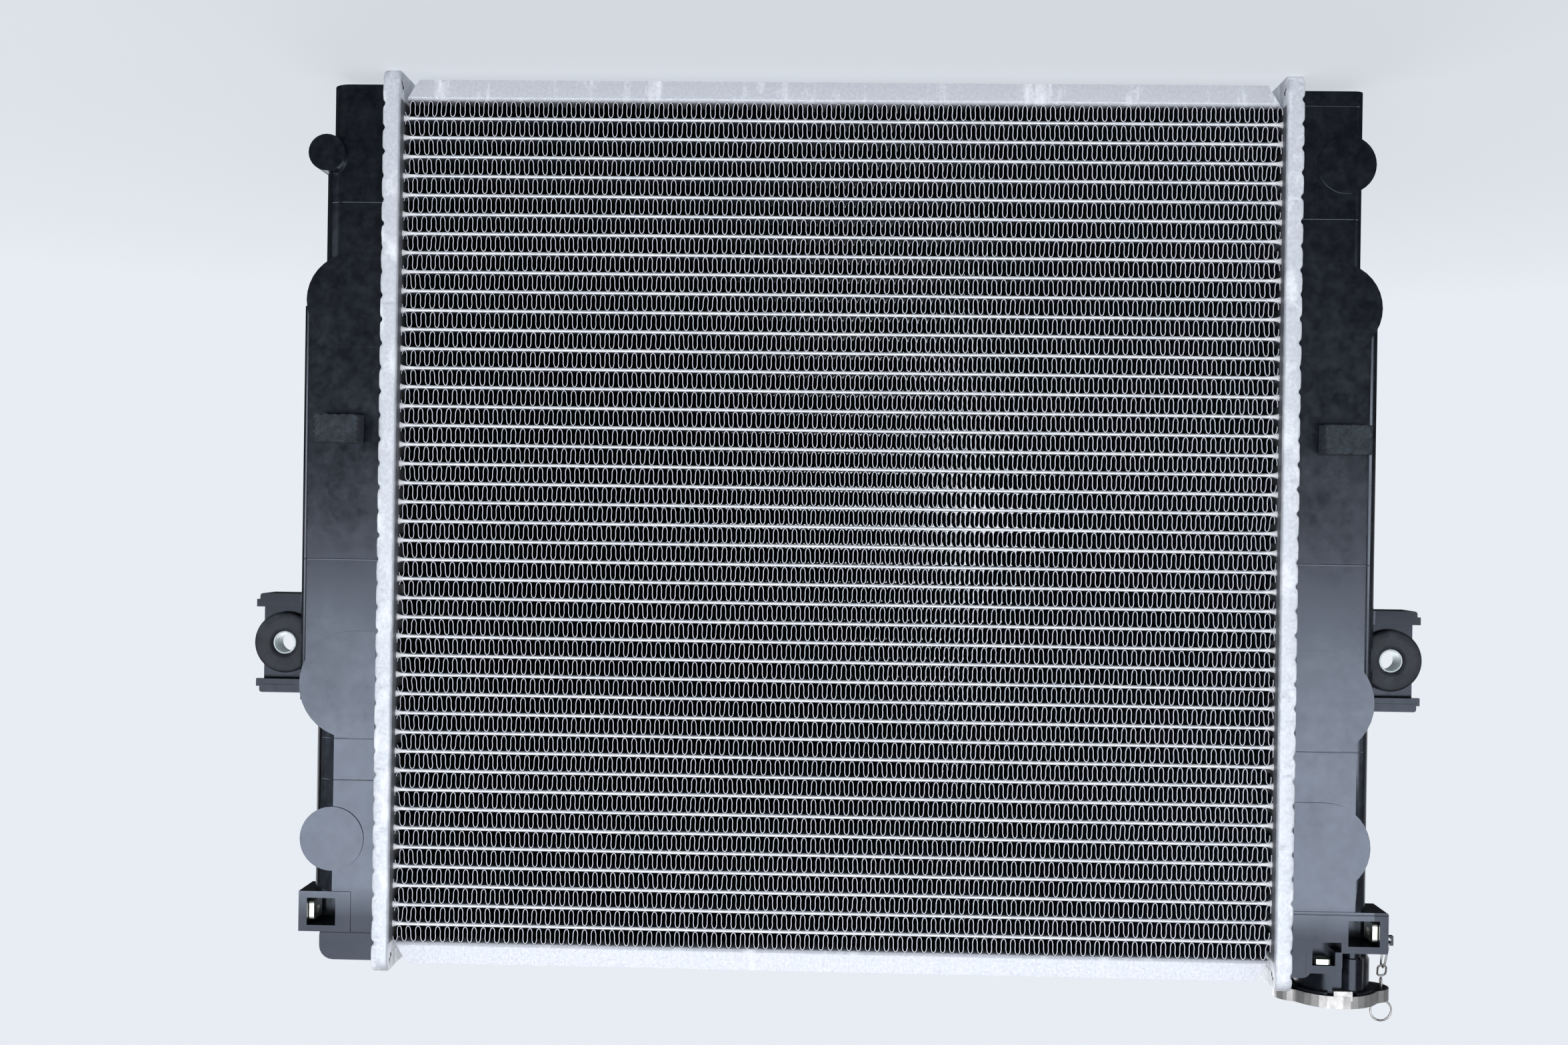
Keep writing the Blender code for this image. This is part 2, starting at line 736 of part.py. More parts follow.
def overflow_pipe():
    """The thin pipe on the back of the filler neck, for the overflow hose."""
    height = 445.9 * MM
    start = NECK_BORE + 2 * MM
    end = 43 * MM
    profile = [
        (0.0, end),
        (3.4 * MM, end),
        (4.1 * MM, end - 1.5 * MM),
        (3.5 * MM, end - 3.5 * MM),
        (3.5 * MM, start),
        (0.0, start),
    ]
    outside = turned("overflow_pipe", profile, (NECK_X, 0.0, height), (0.0, 1.0, 0.0), 16)
    bore = cylinder("overflow_bore", (NECK_X, 12 * MM, height), (NECK_X, end + MM, height), 2.1 * MM, 12)
    return outside, bore


def inlet_tank(mat):
    """The tank at -X: hose neck high up, and the filler neck above the two shroud pockets."""
    side = INLET
    tank = tank_section(side, SLIM_REACH - 0.6 * MM, TANK_HALF_DEPTH, TANK_LOW, BROAD_LOW + 10 * MM, 5 * MM)
    join(
        tank,
        tank_section(side, BROAD_REACH, TANK_MID_HALF_DEPTH, BROAD_LOW, BROAD_HIGH, 6 * MM),
        tank_section(side, BROAD_REACH - 1.6 * MM, TANK_HALF_DEPTH, BROAD_HIGH - 10 * MM, 425 * MM, 7 * MM),
        rounded_box(
            "tank_end",
            (side * FOOT_BOTTOM, -TANK_HALF_DEPTH, 420 * MM),
            (side * 238.6 * MM, TANK_HALF_DEPTH, 445.8 * MM),
            1,
            4.5 * MM,
            4,
            beyond=237 * MM,
        ),
        foot(side),
        boss(side, 250.4 * MM, 43.8 * MM, 14.3 * MM),
        long_boss(side, 246.0 * MM, 114.8 * MM, 22.7 * MM),
        long_boss(side, 241.4 * MM, 309.8 * MM, 26.0 * MM, TANK_MID_HALF_DEPTH + 0.2 * MM),
        long_boss(side, HOSE_BOSS_REACHES[side], HOSE_HEIGHTS[side], 22.2 * MM),
    )
    cut(tank, bush_recess(side))
    neck, bore = hose_neck(side)
    ear_pieces, ear_hole = ear(side)
    filler, filler_bores = filler_neck()
    pipe, pipe_bore = overflow_pipe()
    block = rounded_box(
        "pocket_block",
        (-229.2 * MM, POCKET_FRONT, 412.8 * MM),
        (-276.0 * MM, 3 * MM, 433.1 * MM),
        1,
        MM,
        2,
        beyond=274 * MM,
    )
    frame = rounded_box(
        "pocket_frame",
        (-236 * MM, POCKET_FRONT + 0.3 * MM, 426 * MM),
        (-253.7 * MM, 6 * MM, 443.3 * MM),
        1,
        3.2 * MM,
        3,
        beyond=252 * MM,
    )
    neck_saddle = box("neck_saddle", (-236 * MM, -5 * MM, 424 * MM), (-262 * MM, 19 * MM, 443.7 * MM))
    post_x = NECK_X - 5.5 * MM
    post_y = NECK_Y - 16.5 * MM
    post = cylinder("post", (post_x, post_y, 436.5 * MM), (post_x, post_y, 451.7 * MM), 5.7 * MM, 24)
    post_root = cylinder("post_root", (post_x, post_y, 431 * MM), (post_x, post_y, 438 * MM), 4.2 * MM, 16)
    lug = (LUG_EYE_X, LUG_EYE_HEIGHT)
    chain_lug = box(
        "chain_lug",
        (-275 * MM, -1.5 * MM, lug[1] - 2.4 * MM),
        (lug[0] - 2.6 * MM, 1.5 * MM, lug[1] + 2.4 * MM),
    )
    join(tank, neck, *ear_pieces, block, frame, neck_saddle, post_root, post, filler, pipe, chain_lug)
    cut(
        tank,
        tank_cavity(side, SLIM_REACH - 0.6 * MM - TANK_WALL, TANK_LOW + TANK_WALL, BROAD_LOW + 5 * MM),
        tank_cavity(side, BROAD_REACH - TANK_WALL, BROAD_LOW + TANK_WALL, CAVITY_STEP + TANK_WALL),
        tank_cavity(side, UPPER_CAVITY, CAVITY_STEP, 409 * MM),
        tank_cavity(side, 262.5 * MM, 405 * MM, 439.3 * MM, TANK_WALL),
        tank_cavity(side, 226 * MM, 405 * MM, 439.3 * MM),
        bore,
        *filler_bores,
        *neck_flange_notches(),
        pipe_bore,
        ear_hole,
        box("pocket_side", (-256.4 * MM, POCKET_FRONT - MM, 417.0 * MM), (-271.8 * MM, 0.0, 429.7 * MM)),
        box("pocket_top", (-239.0 * MM, POCKET_FRONT - MM, 427.8 * MM), (-250.2 * MM, -9 * MM, 439.4 * MM)),
        box("pocket_notch", (-249.0 * MM, POCKET_FRONT - MM, 427.8 * MM), (-253.1 * MM, -9 * MM, 432.6 * MM)),
        cylinder(
            "screw_hole",
            (-270.5 * MM, SCREW_DEPTH, 423.35 * MM),
            (-278 * MM, SCREW_DEPTH, 423.35 * MM),
            SCREW_HOLE,
            20,
        ),
        cylinder(
            "screw_hole",
            (-244.6 * MM, SCREW_DEPTH - 4 * MM, 438.5 * MM),
            (-244.6 * MM, SCREW_DEPTH - 4 * MM, 445 * MM),
            SCREW_HOLE - 0.6 * MM,
            20,
        ),
        cylinder("chain_hole", (lug[0], -2.5 * MM, lug[1]), (lug[0], 2.5 * MM, lug[1]), 1.5 * MM, 16),
    )
    return publish(tank, "tank_inlet", mat)


# ---------------------------------------------------------------- pieces on the tanks


def bush(side, mat):
    """A rubber bush with a waist that sits in the ear's plate."""
    front = EAR_FRONT - GAP
    back = EAR_FRONT + EAR_THICKNESS + GAP
    edge = 1.2 * MM
    profile = [
        (BUSH_BORE, back + BUSH_FLANGE),
        (BUSH_RADIUS - edge, back + BUSH_FLANGE),
        (BUSH_RADIUS, back + BUSH_FLANGE - edge),
        (BUSH_RADIUS, back),
        (BUSH_WAIST, back),
        (BUSH_WAIST, front),
        (BUSH_RADIUS, front),
        (BUSH_RADIUS, front - BUSH_FLANGE + edge),
        (BUSH_RADIUS - edge, front - BUSH_FLANGE),
        (BUSH_BORE, front - BUSH_FLANGE),
    ]
    origin = (side * BUSH_REACH, 0.0, EAR_HEIGHT)
    piece = turned("bush", profile, origin, (0.0, 1.0, 0.0), 28)
    return publish(piece, f"bush_{SIDE_NAMES[side]}", mat)


def sleeve(side, mat):
    """The steel tube that keeps the bush from being crushed by its bolt."""
    front = EAR_FRONT - GAP - BUSH_FLANGE + SLEEVE_INSET
    back = EAR_FRONT + EAR_THICKNESS + GAP + BUSH_FLANGE + 0.5 * MM
    profile = [
        (SLEEVE_BORE, back),
        (SLEEVE_RADIUS, back),
        (SLEEVE_RADIUS, front),
        (SLEEVE_BORE, front),
    ]
    origin = (side * BUSH_REACH, 0.0, EAR_HEIGHT)
    piece = turned("sleeve", profile, origin, (0.0, 1.0, 0.0), 24)
    return publish(piece, f"bush_sleeve_{SIDE_NAMES[side]}", mat)


def foam_pad(side, centre, size, mat):
    """A foam block that keeps the radiator off the part in front of it."""
    half_width, half_height = size[0] / 2, size[1] / 2
    x, z = centre
    back = -TANK_MID_HALF_DEPTH - GAP
    pad = rounded_box(
        "pad",
        (side * (x - half_width), PAD_FRONT, z - half_height),
        (side * (x + half_width), back, z + half_height),
        1,
        0.8 * MM,
        2,
    )
    return publish(pad, f"foam_pad_{SIDE_NAMES[side]}", mat)


def shroud_nut(name, corner, opposite, hole_axis, mat):
    """A plate nut with one threaded hole through it."""
    bm = box_bmesh(corner, opposite)
    bevel_where(bm, lambda way, at: abs(way[hole_axis]) > 0.9, 1.5 * MM, 3)
    nut = as_object("nut", bm)
    centre = (Vector(corner) + Vector(opposite)) / 2
    start = centre.copy()
    end = centre.copy()
    start[hole_axis] -= 5 * MM
    end[hole_axis] += 5 * MM
    cut(nut, cylinder("nut_bore", start, end, NUT_BORE, 20))
    return publish(nut, name, mat)


def drain_cock(mat):
    """The screw with its wing handle, hollow so that the coolant runs out through it."""
    face = DRAIN_BACK + 2.8 * MM
    profile = [
        (1.8 * MM, face + 5 * MM),
        (7.0 * MM, face + 5 * MM),
        (8.4 * MM, face + 4 * MM),
        (8.4 * MM, face),
        (4.9 * MM, face),
        (4.9 * MM, 8 * MM),
        (3.6 * MM, 5 * MM),
        (1.8 * MM, 5 * MM),
    ]
    origin = (DRAIN_X, 0.0, DRAIN_HEIGHT)
    cock = turned("cock", profile, origin, (0.0, 1.0, 0.0), 24)
    half_wing = 13 * MM
    wing = rounded_box(
        "wing",
        (DRAIN_X - half_wing, face + 3 * MM, DRAIN_HEIGHT - 1.8 * MM),
        (DRAIN_X + half_wing, face + 15 * MM, DRAIN_HEIGHT + 1.8 * MM),
        2,
        4 * MM,
        3,
    )
    outlet = cylinder(
        "cock_bore",
        (DRAIN_X, face - 5 * MM, DRAIN_HEIGHT),
        (DRAIN_X, face + 16 * MM, DRAIN_HEIGHT),
        1.5 * MM,
        16,
    )
    join(cock, wing)
    cut(cock, outlet)
    return publish(cock, "drain_cock", mat)


def drain_seal(mat):
    """The rubber ring under the drain cock's head."""
    front = DRAIN_BACK + GAP
    profile = [
        (5.2 * MM, front + 2.2 * MM),
        (8.0 * MM, front + 2.2 * MM),
        (8.0 * MM, front),
        (5.2 * MM, front),
    ]
    ring = turned("seal", profile, (DRAIN_X, 0.0, DRAIN_HEIGHT), (0.0, 1.0, 0.0), 24)
    return publish(ring, "drain_seal", mat)


# ---------------------------------------------------------------- pressure cap


def cap_outline(inset):
    """The cap seen from above: a disc with two ears, joined to it by hollow curves."""
    disc = CAP_RADIUS - inset
    tip = CAP_EAR_RADIUS - inset
    fillet = CAP_EAR_FILLET + inset
    tip_centre = CAP_EAR_REACH - CAP_EAR_RADIUS
    to_disc = disc + fillet
    to_tip = tip + fillet
    x = (to_disc**2 - to_tip**2 + tip_centre**2) / (2 * tip_centre)
    y = math.sqrt(to_disc**2 - x**2)
    disc_angle = math.degrees(math.atan2(y, x))
    tip_angle = math.degrees(math.atan2(y, x - tip_centre))
    quarter = arc((tip_centre, 0.0), tip, 0.0, tip_angle, 6)
    quarter += arc((x, y), fillet, tip_angle + 180.0, disc_angle + 180.0, 4)[1:]
    quarter += arc((0.0, 0.0), disc, disc_angle, 90.0, 6)[1:]
    half = quarter + [(-x, y) for x, y in reversed(quarter[:-1])]
    whole = half + [(x, -y) for x, y in reversed(half[1:-1])]
    return [(NECK_X + x, NECK_Y + y) for x, y in whole]


def lug(direction):
    """A tab that hangs from the rim and turns in under the neck's flange."""
    wall_inner = CAP_RADIUS - 1.1 * MM
    wall_outer = CAP_RADIUS - 0.35 * MM
    near = NECK_Y + direction * wall_inner
    far = NECK_Y + direction * wall_outer
    tip = NECK_Y + direction * LUG_INNER
    half = LUG_WIDTH / 2
    slim = half - 0.1 * MM
    step = 0.05 * MM
    return [
        box("lug_wall", (NECK_X - half, near, LUG_FOOT + step), (NECK_X + half, far, CAP_RIM + 2 * MM)),
        box(
            "lug_foot",
            (NECK_X - slim, tip, LUG_FOOT),
            (NECK_X + slim, far - direction * step, LUG_FOOT + CAP_SHEET),
        ),
    ]


def cap_shell(mat):
    """The pressed steel cap: a shallow dish with two ears, a raised middle and two lugs."""
    shell = slab("shell", cap_outline(0.0), CAP_RIM, CAP_TOP)
    inside = slab("shell_inside", cap_outline(CAP_SHEET), CAP_RIM - MM, CAP_TOP - CAP_SHEET)
    crown = cylinder(
        "crown", (NECK_X, NECK_Y, CAP_TOP - 0.4 * MM), (NECK_X, NECK_Y, CAP_TOP + 1.2 * MM), 14.5 * MM, 32
    )
    hole = cylinder("shell_hole", (NECK_X, NECK_Y, CAP_RIM), (NECK_X, NECK_Y, CAP_TOP + 5 * MM), 2.4 * MM, 20)
    ring_x = NECK_X - RING_HOLE_REACH
    ring_hole = cylinder(
        "ring_hole", (ring_x, NECK_Y, CAP_RIM + MM), (ring_x, NECK_Y, CAP_TOP + MM), 2.0 * MM, 16
    )
    join(shell, crown)
    cut(shell, inside, hole, ring_hole)
    join(shell, *lug(-1), *lug(1))
    return publish(shell, "cap_shell", mat)


def cap_rings(steel, rubber, brass):
    """The turned pieces under the shell, from the neck seal down to the vacuum valve."""
    origin = (NECK_X, NECK_Y, 0.0)

    def ring(name, profile, mat, steps=28):
        return publish(turned(name, profile, origin, steps=steps), name, mat)

    def washer(name, outer, inner, top, bottom, mat):
        return ring(name, [(inner, top), (outer, top), (outer, bottom), (inner, bottom)], mat)

    seal_top = CAP_TOP - CAP_SHEET - GAP
    seal_bottom = NECK_TOP + GAP
    washer("cap_neck_seal", 20.8 * MM, 2.6 * MM, seal_top, seal_bottom, rubber)

    cup_top = seal_bottom - GAP
    cup_bottom = 449.3 * MM
    cup_radius = 12.8 * MM
    ring(
        "cap_spring_cup",
        [
            (2.6 * MM, cup_top),
            (cup_radius - 1.2 * MM, cup_top),
            (cup_radius, cup_top - 1.2 * MM),
            (cup_radius, cup_bottom),
            (cup_radius - CAP_SHEET, cup_bottom),
            (cup_radius - CAP_SHEET, cup_top - 1.6 * MM),
            (cup_radius - 1.6 * MM, cup_top - CAP_SHEET),
            (2.6 * MM, cup_top - CAP_SHEET),
        ],
        steel,
    )
    shank_bottom = cup_top - CAP_SHEET - GAP
    head_bottom = CAP_TOP + 1.2 * MM + GAP
    ring(
        "cap_rivet",
        [
            (0.0, head_bottom + 1.3 * MM),
            (2.6 * MM, head_bottom + 1.0 * MM),
            (4.0 * MM, head_bottom),
            (2.1 * MM, head_bottom),
            (2.1 * MM, shank_bottom),
            (3.6 * MM, shank_bottom),
            (3.6 * MM, shank_bottom - MM),
            (0.0, shank_bottom - MM),
        ],
        steel,
        24,
    )
    plate_bottom = SEAT_HEIGHT + 2.3 * MM
    plate_top = plate_bottom + MM
    ring(
        "cap_pressure_valve",
        [
            (2.6 * MM, plate_top),
            (7.6 * MM, plate_top),
            (8.0 * MM, plate_top + 1.6 * MM),
            (8.6 * MM, plate_top + 1.6 * MM),
            (8.4 * MM, plate_top),
            (14.0 * MM, plate_top),
            (14.0 * MM, plate_bottom),
            (2.6 * MM, plate_bottom),
        ],
        brass,
    )
    washer("cap_valve_seal", 13.8 * MM, 7.0 * MM, plate_bottom - GAP, SEAT_HEIGHT + GAP, rubber)
    ring(
        "cap_vacuum_valve",
        [
            (0.0, plate_top + 4.4 * MM),
            (3.4 * MM, plate_top + 4.4 * MM),
            (3.4 * MM, plate_top + 3.6 * MM),
            (1.6 * MM, plate_top + 3.6 * MM),
            (1.6 * MM, plate_bottom - GAP),
            (6.0 * MM, plate_bottom - GAP),
            (6.0 * MM, plate_bottom - 1.3 * MM),
            (0.0, plate_bottom - 1.3 * MM),
        ],
        brass,
        24,
    )


def cap_spring(mat):
    """The coil spring that holds the pressure valve down; its end turns lie flat."""
    bottom = SEAT_HEIGHT + 3.3 * MM + GAP + SPRING_WIRE
    top = NECK_TOP - CAP_SHEET - 2 * GAP - SPRING_WIRE
    steps = 12
    flat = 0.75
    points = []
    for i in range(int(SPRING_TURNS * steps) + 1):
        turn = i / steps
        climb = min(max((turn - flat) / (SPRING_TURNS - 2 * flat), 0.0), 1.0)
        angle = 2 * math.pi * turn
        x = NECK_X + SPRING_RADIUS * math.cos(angle)
        y = NECK_Y + SPRING_RADIUS * math.sin(angle)
        wire_room = 2.2 * SPRING_WIRE
        lift = bottom + wire_room * min(turn / flat, 1.0) * 0.5
        drop = top - wire_room * min((SPRING_TURNS - turn) / flat, 1.0) * 0.5
        points.append((x, y, lift + (drop - lift) * climb))
    return wire("cap_pressure_spring", points, SPRING_WIRE, mat)


# ---------------------------------------------------------------- chain


def oval_link(centre, along, across, length, width, ends=5):
    """Points of a closed link: two straight sides and two half-circles."""
    along = Vector(along).normalized()
    across = Vector(across)
    across = (across - across.dot(along) * along).normalized()
    radius = width / 2
    straight = length / 2 - radius
    points = []
    for x, y in arc((straight, 0.0), radius, -90.0, 90.0, ends):
        points.append(Vector(centre) + along * x + across * y)
    for x, y in arc((-straight, 0.0), radius, 90.0, 270.0, ends):
        points.append(Vector(centre) + along * x + across * y)
    return points


def cap_clip(mat):
    """The wire clip in the cap's ear: an eye above, and two legs down through the hole."""
    x = NECK_X - RING_HOLE_REACH
    eye_height = CAP_TOP + CLIP_EYE + WIRE_RADIUS + 0.2 * MM
    foot = CLIP_FOOT + CLIP_SPREAD
    legs = []
    for direction in (-1, 1):
        legs.append(
            [
                (x, NECK_Y + direction * CLIP_SPREAD, foot),
                (x, NECK_Y + direction * CLIP_SPREAD, CAP_RIM + 1.5 * MM),
                (x + direction * 0.7 * MM, NECK_Y + direction * 0.6 * MM, CAP_TOP - MM),
                (x + direction * 0.8 * MM, NECK_Y, CAP_TOP + 0.6 * MM),
            ]
        )
    eye = [(x + u, NECK_Y, eye_height + w) for u, w in arc((0.0, 0.0), CLIP_EYE, -80.0, 260.0, 16)]
    turn = [(x, NECK_Y + v, foot + w) for v, w in arc((0.0, 0.0), CLIP_SPREAD, 180.0, 360.0, 4)]
    points = legs[1] + eye + list(reversed(legs[0])) + turn[1:-1]
    return wire("cap_clip", points, WIRE_RADIUS, mat, closed=True)


def chain_links(mat):
    """The long link that hangs in the tank's lug, and the short link at its other end."""
    eye = Vector((LUG_EYE_X, 0.0, LUG_EYE_HEIGHT))
    joint = Vector((CHAIN_JOINT_X, 0.0, CHAIN_JOINT_HEIGHT))
    way = (joint - eye).normalized()
    length = (joint - eye).length
    points = oval_link((eye + joint) / 2, way, (0.0, 1.0, 0.0), length, LONG_LINK_WIDTH)
    wire("chain_long_link", points, WIRE_RADIUS, mat, closed=True)
    clip_foot = Vector((NECK_X - RING_HOLE_REACH, NECK_Y, CLIP_FOOT))
    way = (clip_foot - joint).normalized()
    start = joint - way * 1.5 * MM
    end = clip_foot - way * 1.6 * MM
    points = oval_link((start + end) / 2, way, (1.0, 0.0, 0.0), (end - start).length, SHORT_LINK_WIDTH)
    wire("chain_short_link", points, WIRE_RADIUS, mat, closed=True)


def carry_to_origin():
    """Hang every object on an empty that puts the overall depth's middle at y = 0."""
    carrier = bpy.data.objects.new("radiator_frame", None)
    carrier.location.y = -(PAD_FRONT + HOSE_END) / 2
    parts.objects.link(carrier)
    for obj in list(parts.objects) + list(cutters.objects):
        if obj is not carrier:
            obj.parent = carrier


def main():
    clear_scene()
    aluminium = material("aluminium", (0.78, 0.80, 0.83), 0.42, 1.0)
    core_alloy = material("core_aluminium", (0.70, 0.72, 0.76), 0.38, 1.0)
    nylon = material("black_nylon", (0.022, 0.023, 0.027), 0.42)
    rubber = material("black_rubber", (0.030, 0.031, 0.034), 0.75)
    foam = material("grey_foam", (0.045, 0.052, 0.062), 0.9)
    zinc = material("zinc_plate", (0.72, 0.75, 0.72), 0.3, 1.0)
    chrome = material("bright_steel", (0.80, 0.79, 0.77), 0.16, 1.0)
    brass = material("brass", (0.72, 0.56, 0.30), 0.3, 1.0)

    for number in range(BANK_COUNT):
        tube_bank(number, core_alloy)
    side_plate("side_plate_top", 1, aluminium)
    side_plate("side_plate_bottom", -1, aluminium)
    for side in (INLET, OUTLET):
        header_plate(side, aluminium)
        gasket(side, rubber)
        bush(side, rubber)
        sleeve(side, zinc)
    inlet_tank(nylon)
    outlet_tank(nylon)
    foam_pad(INLET, (249.8 * MM, 180.2 * MM), (23.7 * MM, 15.6 * MM), foam)
    foam_pad(OUTLET, (247.6 * MM, 181.0 * MM), (22.8 * MM, 15.0 * MM), foam)
    nut_front = -17 * MM
    shroud_nut(
        "shroud_nut_outlet",
        (261.7 * MM, nut_front, 418.4 * MM),
        (261.7 * MM - NUT_THICKNESS, -3 * MM, 428.1 * MM),
        0,
        zinc,
    )
    shroud_nut(
        "shroud_nut_inlet_side",
        (-271.5 * MM, nut_front, 418.6 * MM),
        (-271.5 * MM + NUT_THICKNESS, -3 * MM, 428.1 * MM),
        0,
        zinc,
    )
    shroud_nut(
        "shroud_nut_inlet_top",
        (-240.6 * MM, -18.5 * MM, 439.1 * MM),
        (-248.6 * MM, -9.5 * MM, 439.1 * MM - NUT_THICKNESS),
        2,
        zinc,
    )
    drain_cock(nylon)
    drain_seal(rubber)
    cap_shell(chrome)
    cap_rings(zinc, rubber, brass)
    cap_spring(chrome)
    cap_clip(chrome)
    chain_links(chrome)
    carry_to_origin()
    bpy.context.view_layer.update()


main()
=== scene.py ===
"""Looks of the car radiator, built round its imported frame.

The frame stands the radiator up: +Z is up, -Y is its front and the inlet tank is at -X. The camera
looks at the front with the drain end of the tanks at the top of the picture. Lengths are in metres.
"""

import json
import math
import random

import bmesh
import bpy
from mathutils import Matrix, Vector, noise

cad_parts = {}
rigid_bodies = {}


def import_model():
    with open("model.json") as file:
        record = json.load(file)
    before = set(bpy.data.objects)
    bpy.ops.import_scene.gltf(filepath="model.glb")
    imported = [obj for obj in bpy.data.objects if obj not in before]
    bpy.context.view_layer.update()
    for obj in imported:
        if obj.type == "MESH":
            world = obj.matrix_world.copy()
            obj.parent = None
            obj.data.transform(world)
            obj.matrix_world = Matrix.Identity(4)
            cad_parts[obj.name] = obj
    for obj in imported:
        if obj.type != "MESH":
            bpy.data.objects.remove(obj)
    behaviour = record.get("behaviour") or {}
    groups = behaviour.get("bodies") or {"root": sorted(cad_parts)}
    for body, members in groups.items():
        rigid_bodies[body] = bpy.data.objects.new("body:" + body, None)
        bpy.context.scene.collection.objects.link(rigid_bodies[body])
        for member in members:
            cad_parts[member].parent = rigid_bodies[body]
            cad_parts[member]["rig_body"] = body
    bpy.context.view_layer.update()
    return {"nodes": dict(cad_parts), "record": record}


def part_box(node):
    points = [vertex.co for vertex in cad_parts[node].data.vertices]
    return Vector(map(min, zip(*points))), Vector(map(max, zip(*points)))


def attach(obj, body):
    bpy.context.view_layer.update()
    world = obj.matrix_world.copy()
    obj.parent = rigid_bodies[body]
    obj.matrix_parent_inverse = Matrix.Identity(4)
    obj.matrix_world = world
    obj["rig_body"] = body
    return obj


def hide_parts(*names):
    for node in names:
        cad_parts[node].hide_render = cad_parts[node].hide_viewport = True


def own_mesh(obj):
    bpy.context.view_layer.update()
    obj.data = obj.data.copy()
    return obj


MM = 0.001
SIDES = {"inlet": -1, "outlet": 1}
SEED = 7
LATHE_STEPS = 96

# Core; a fin's swing is how far its walls zigzag sideways between front and back, and a tube's nose
# is pale from TUBE_NOSE on, as a distance from the middle of the fins' depth
TUBE_COUNT = 43
TUBE_HEIGHT = 1.7 * MM
TUBE_PITCH = 9.7 * MM
FIN_REACH = 219.8 * MM
FIN_WAVE = 4.7 * MM
FIN_SHEET = 0.32 * MM
FIN_SWING = 1.3 * MM
FIN_MIDDLE_Y = -13.0 * MM
FIN_HALF_DEPTH = 12.5 * MM
FIN_GAP = 0.08 * MM
WAVE_POINTS = 12
WAVE_SWEEP = math.radians(97.0)
TUBE_NOSE = 12.2 * MM
NOSE_LENGTH = 1.6 * MM
TUBE_SWAY = 0.06 * MM

# Solder round the tubes: where its colour starts and is full, as distances from the middle of the core,
# and its shape as (millimetres from the header plate's floor towards the fins, times the tube's height)
SOLDER_FROM = 212.5 * MM
SOLDER_FULL = 216.8 * MM
SOLDER_SHAPE = ((-0.8, 1.0), (-0.3, 2.3), (0.7, 1.65), (1.9, 1.2), (3.5, 1.0))

# Header plates; the floor is the face towards the fins, and painted shade darkens it up to HEADER_SHADE
# from the middle of the fins' depth. The ring is the width of the bent edge, the field the flat middle's
# distance from the outline, and the field lies a little inside the sheet, so that no faces coincide.
HEADER_SHEET = 1.5 * MM
HEADER_CORNER = 7.0 * MM
HEADER_BEND = 1.2 * MM
HEADER_FLOOR = 220.3 * MM
HEADER_SHADE = 21.0 * MM
HEADER_RING = 9.0 * MM
HEADER_FIELD = 8.0 * MM
FIELD_SINK = 0.15 * MM
CRIMP_PITCH = 12.0 * MM
CRIMP_NOTCH = 0.85 * MM
CRIMP_NOTCH_WIDTH = 1.3 * MM
CRIMP_SCALLOP = 0.45 * MM
CRIMP_COUNT = 120

# Creases across the header plates' walls, as heights above the ground
CREASES = {"inlet": (0.062, 0.115, 0.306, 0.381), "outlet": (0.309, 0.381, 0.117)}
CREASE_WIDTH = 0.7 * MM
CREASE_DEPTH = 0.4 * MM
RIPPLE = 0.35 * MM

# Side plates
SIDE_SLANT = 6.5 * MM
SIDE_THICKNESS = 1.2 * MM
SIDE_BEND = 2.0 * MM
SIDE_STEPS = 60
SIDE_SWAY = 0.18 * MM

# Fine lines on the tanks, where the mould's inserts meet, as heights above the ground
SEAMS = {
    "inlet": (0.0148, 0.0707, 0.2415, 0.3340, 0.4142),
    "outlet": (0.0665, 0.2461, 0.3362, 0.3570, 0.4336),
}
SEAM_WIDTH = 0.32 * MM

# The tanks are duller on the ears, past EAR_FROM from the middle, and from about TOP_END upwards
EAR_FROM = 268.6 * MM
EAR_FADE = 0.5 * MM
TOP_END = 418.0 * MM
TOP_FADE = 8.0 * MM

# Bushes, sleeves and foam pads
BUSH_FLANGE = 5.0 * MM
BUSH_WAIST = 11.4 * MM
BUSH_BORE = 6.1 * MM
SLEEVE_WALL = 0.8 * MM
FOAM_INSET = 0.3 * MM
FOAM_CUTS = 40
FOAM_CRINKLE = 0.42 * MM

# Camera
CAMERA_PLACE = (-0.0019, -0.9106, 0.2240)
CAMERA_FORWARD = (0.0307, 0.9995, 0.0005)
CAMERA_RIGHT = (-0.9994, 0.0307, -0.0146)
CAMERA_LENS = 40.48
SENSOR_WIDTH = 36.0

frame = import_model()
slot_of = {part["node"]: part["material_slot"] for part in frame["record"]["subparts"]}


# ---------------------------------------------------------------- materials


